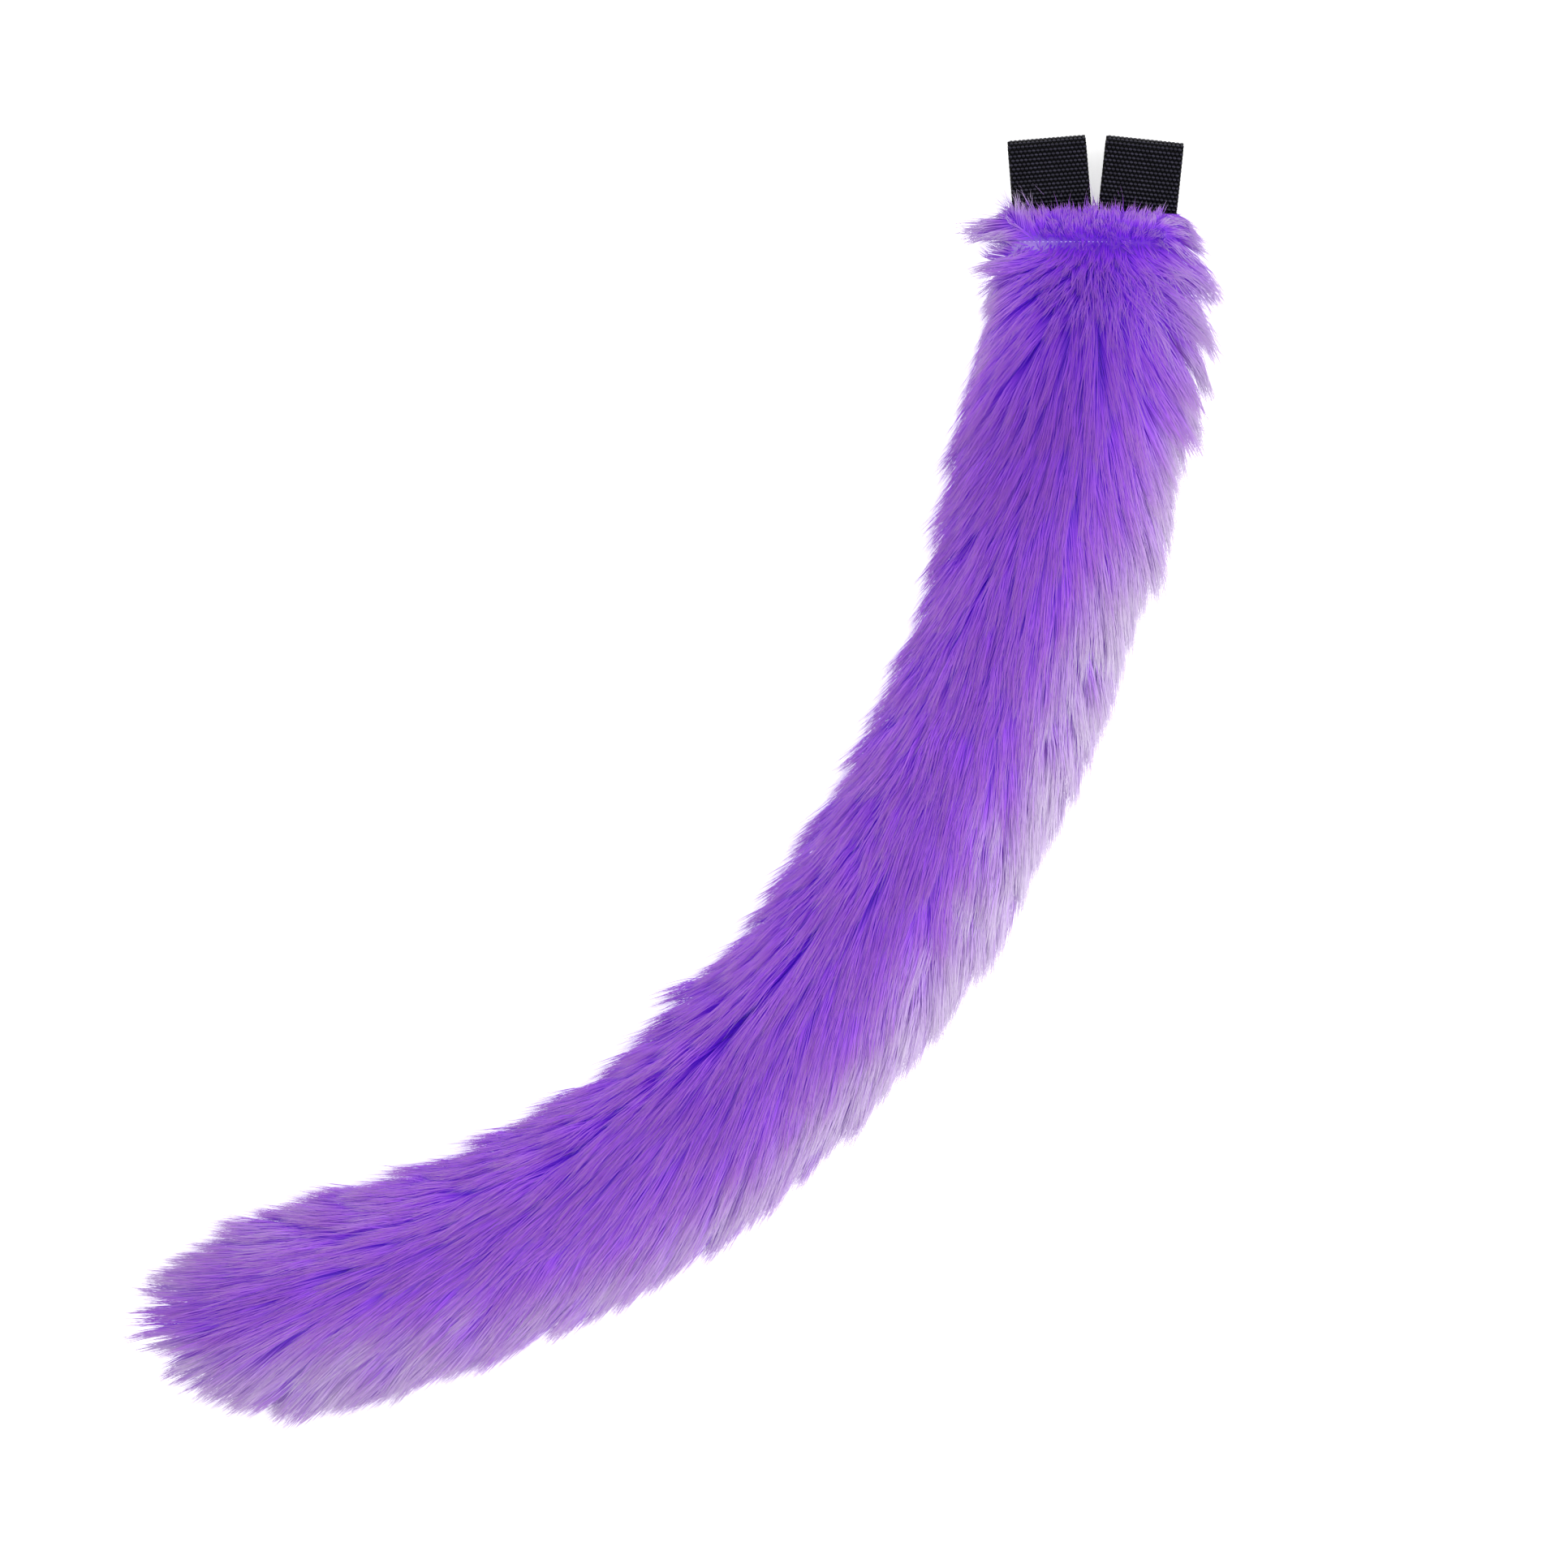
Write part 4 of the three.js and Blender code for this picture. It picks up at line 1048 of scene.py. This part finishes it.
# %% The line of the stitches
STITCH_PITCH = 1.5 * MM
SEAM_HALF = 26 * MM
seam_half, seam_middle, seam_rise, seam_square = [
    float(smooth(HEM_SEAM, SKIN_ROWS[:, 0], SKIN_ROWS[:, k])) for k in (1, 2, 3, 4)]
seam_points = []
for x in np.arange(-SEAM_HALF, SEAM_HALF, STITCH_PITCH):
    across_share = min((abs(x) / seam_half) ** (1 / seam_square), 1)
    height_share = math.sqrt(1 - across_share**2) ** seam_square
    seam_points.append((HEM.x + x, HEM.y - HEM_SEAM, seam_middle + seam_rise * height_share))
seam_mesh = bpy.data.meshes.new("seam_line")
seam_mesh.from_pydata(seam_points, [], [])
seam_line = bpy.data.objects.new("seam_line", seam_mesh)
bpy.context.scene.collection.objects.link(seam_line)
print("Stitches in the seam:", len(seam_points))

# %% [markdown]
# Geometry Nodes lay one short rounded stitch at each point of the seam line, turned and sized a little by
# chance. The thread is spun polyester. Its plies twist about every half millimetre.

# %% The stitches
stitching, given, stitching_result = tree_with("closing_stitches", {
    "Stitch Length": ("NodeSocketFloat", 0.9 * MM),
    "Thread Radius": ("NodeSocketFloat", 0.22 * MM),
    "Seed": ("NodeSocketInt", 6),
    "Material": ("NodeSocketMaterial", None),
})
MOST_TURN = (0.15, 0.35, 0.45)  # radians about each axis, either way
LEAST_TURN = tuple(-turn for turn in MOST_TURN)
index = add(stitching, "GeometryNodeInputIndex")
bead = add(stitching, "GeometryNodeMeshUVSphere", {"Segments": 8, "Rings": 5, "Radius": 1.0})
half_length = chain(stitching, MATH, given["Stitch Length"], ("MULTIPLY", 0.5))
form = add(stitching, "ShaderNodeCombineXYZ", [half_length, given["Thread Radius"], given["Thread Radius"]])
turn = add(stitching, "FunctionNodeRandomValue", {
    "Min": LEAST_TURN, "Max": MOST_TURN, "ID": index, "Seed": given["Seed"]}, data_type="FLOAT_VECTOR")
size = add(stitching, "FunctionNodeRandomValue", {"Min": 0.7, "Max": 1.15, "ID": index, "Seed": 8},
           data_type="FLOAT")
laid = add(stitching, "GeometryNodeInstanceOnPoints", {
    "Points": add(stitching, "GeometryNodeMeshToPoints", {"Mesh": given["Geometry"]}), "Instance": bead,
    "Rotation": turn, "Scale": chain(stitching, VECTOR_MATH, form, ("SCALE", size)),
})
real = add(stitching, "GeometryNodeRealizeInstances", [laid])
soft = add(stitching, "GeometryNodeSetShadeSmooth", [real])
finish(stitching, stitching_result, soft, (), given["Material"])


def thread_material():
    """Spun polyester thread in a pale lilac, with the fine twist of its plies."""
    material, tree, shader = new_material("spun_polyester_thread", {"IOR": 1.5, "Roughness": 0.6})
    place = add(tree, "ShaderNodeTexCoord").outputs["Object"]
    plies = add(tree, "ShaderNodeTexWave", {"Vector": place, "Scale": 1 / (0.5 * MM), "Distortion": 1.0})
    run = add(tree, "ShaderNodeValToRGB", [plies.outputs["Fac"]])
    set_stops(run, (0.0, "#b090ee"), (1.0, "#dccaff"))
    tree.links.new(output(run), shader.inputs["Base Color"])
    return material


stitches = grown("closing_stitches", seam_line, stitching, {"Material": thread_material()})
bpy.data.objects.remove(seam_line)
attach(stitches, "root")

# %% [markdown]
# ## Floor, light and camera
# The tail lies on white paper under soft, even studio light. One broad, weak lamp low on the right pales
# the fringe there. The paper glows a little, so that it stays white, as an evenly lit background does.

# %% Floor and light
FLOOR_REACH = 4.0
SKY_STRENGTH = 1.1
LAMP_PLACE, LAMP_AIM = (0.46, -0.12, 0.36), (0.1, 0.0, 0.02)
LAMP_WIDTH, LAMP_WATTS = 0.5, 1.5
WHITE = (1, 1, 1, 1)
scene = bpy.context.scene
scene.view_settings.view_transform = "Standard"
floor_mesh = bpy.data.meshes.new("paper_floor")
corners = [(x * FLOOR_REACH, y * FLOOR_REACH, 0) for x, y in ((-1, -1), (1, -1), (1, 1), (-1, 1))]
floor_mesh.from_pydata(corners, [], [(0, 1, 2, 3)])
floor = bpy.data.objects.new("paper_floor", floor_mesh)
scene.collection.objects.link(floor)
paper = new_material("white_paper", {
    "Base Color": linear("#f6f6f6"), "Roughness": 0.9, "Emission Color": WHITE, "Emission Strength": 0.55})[0]
floor_mesh.materials.append(paper)

world = bpy.data.worlds.new("studio")
scene.world = world
world.use_nodes = True
sky = world.node_tree.nodes["Background"].inputs
sky["Color"].default_value, sky["Strength"].default_value = WHITE, SKY_STRENGTH

lamp = bpy.data.lights.new("key_right", "AREA")
lamp.shape, lamp.size, lamp.energy = "DISK", LAMP_WIDTH, LAMP_WATTS
holder = bpy.data.objects.new("key_right", lamp)
holder.location = LAMP_PLACE
holder.rotation_euler = (Vector(LAMP_AIM) - Vector(LAMP_PLACE)).to_track_quat("-Z", "Y").to_euler()
scene.collection.objects.link(holder)
print("Lamp:", lamp.energy, "watts,", lamp.size, "m wide")

# %% [markdown]
# The camera looks straight down from well above, as the photograph's does. The webbing's known width gives
# the scale of the picture, and the middle of the hem's edge gives its place.

# %% Camera
PHOTO_PIXELS = 1932
PIXELS_PER_MM = 3.735  # the 1 inch webbing is 95 pixels wide
HEM_PIXEL = (1349, 262)  # the middle of the hem's edge in the photograph
LENS = 180.0  # a long lens, in millimetres on a 36 mm sensor
SENSOR = 36.0
SHARP_HEIGHT = 0.012  # the height at which the scale holds
view_width = PHOTO_PIXELS / PIXELS_PER_MM * MM
aim_x = HEM.x + (PHOTO_PIXELS / 2 - HEM_PIXEL[0]) / PIXELS_PER_MM * MM
aim_y = HEM.y - (PHOTO_PIXELS / 2 - HEM_PIXEL[1]) / PIXELS_PER_MM * MM
eye = bpy.data.cameras.new("camera")
eye.lens, eye.sensor_width, eye.sensor_fit = LENS, SENSOR, "AUTO"
camera = bpy.data.objects.new("camera", eye)
camera.location = (aim_x, aim_y, view_width * LENS / SENSOR + SHARP_HEIGHT)
scene.collection.objects.link(camera)
scene.camera = camera
print("Camera aims at", round(aim_x / MM, 1), round(aim_y / MM, 1), "mm from a height of",
      round(camera.location.z, 3), "m")
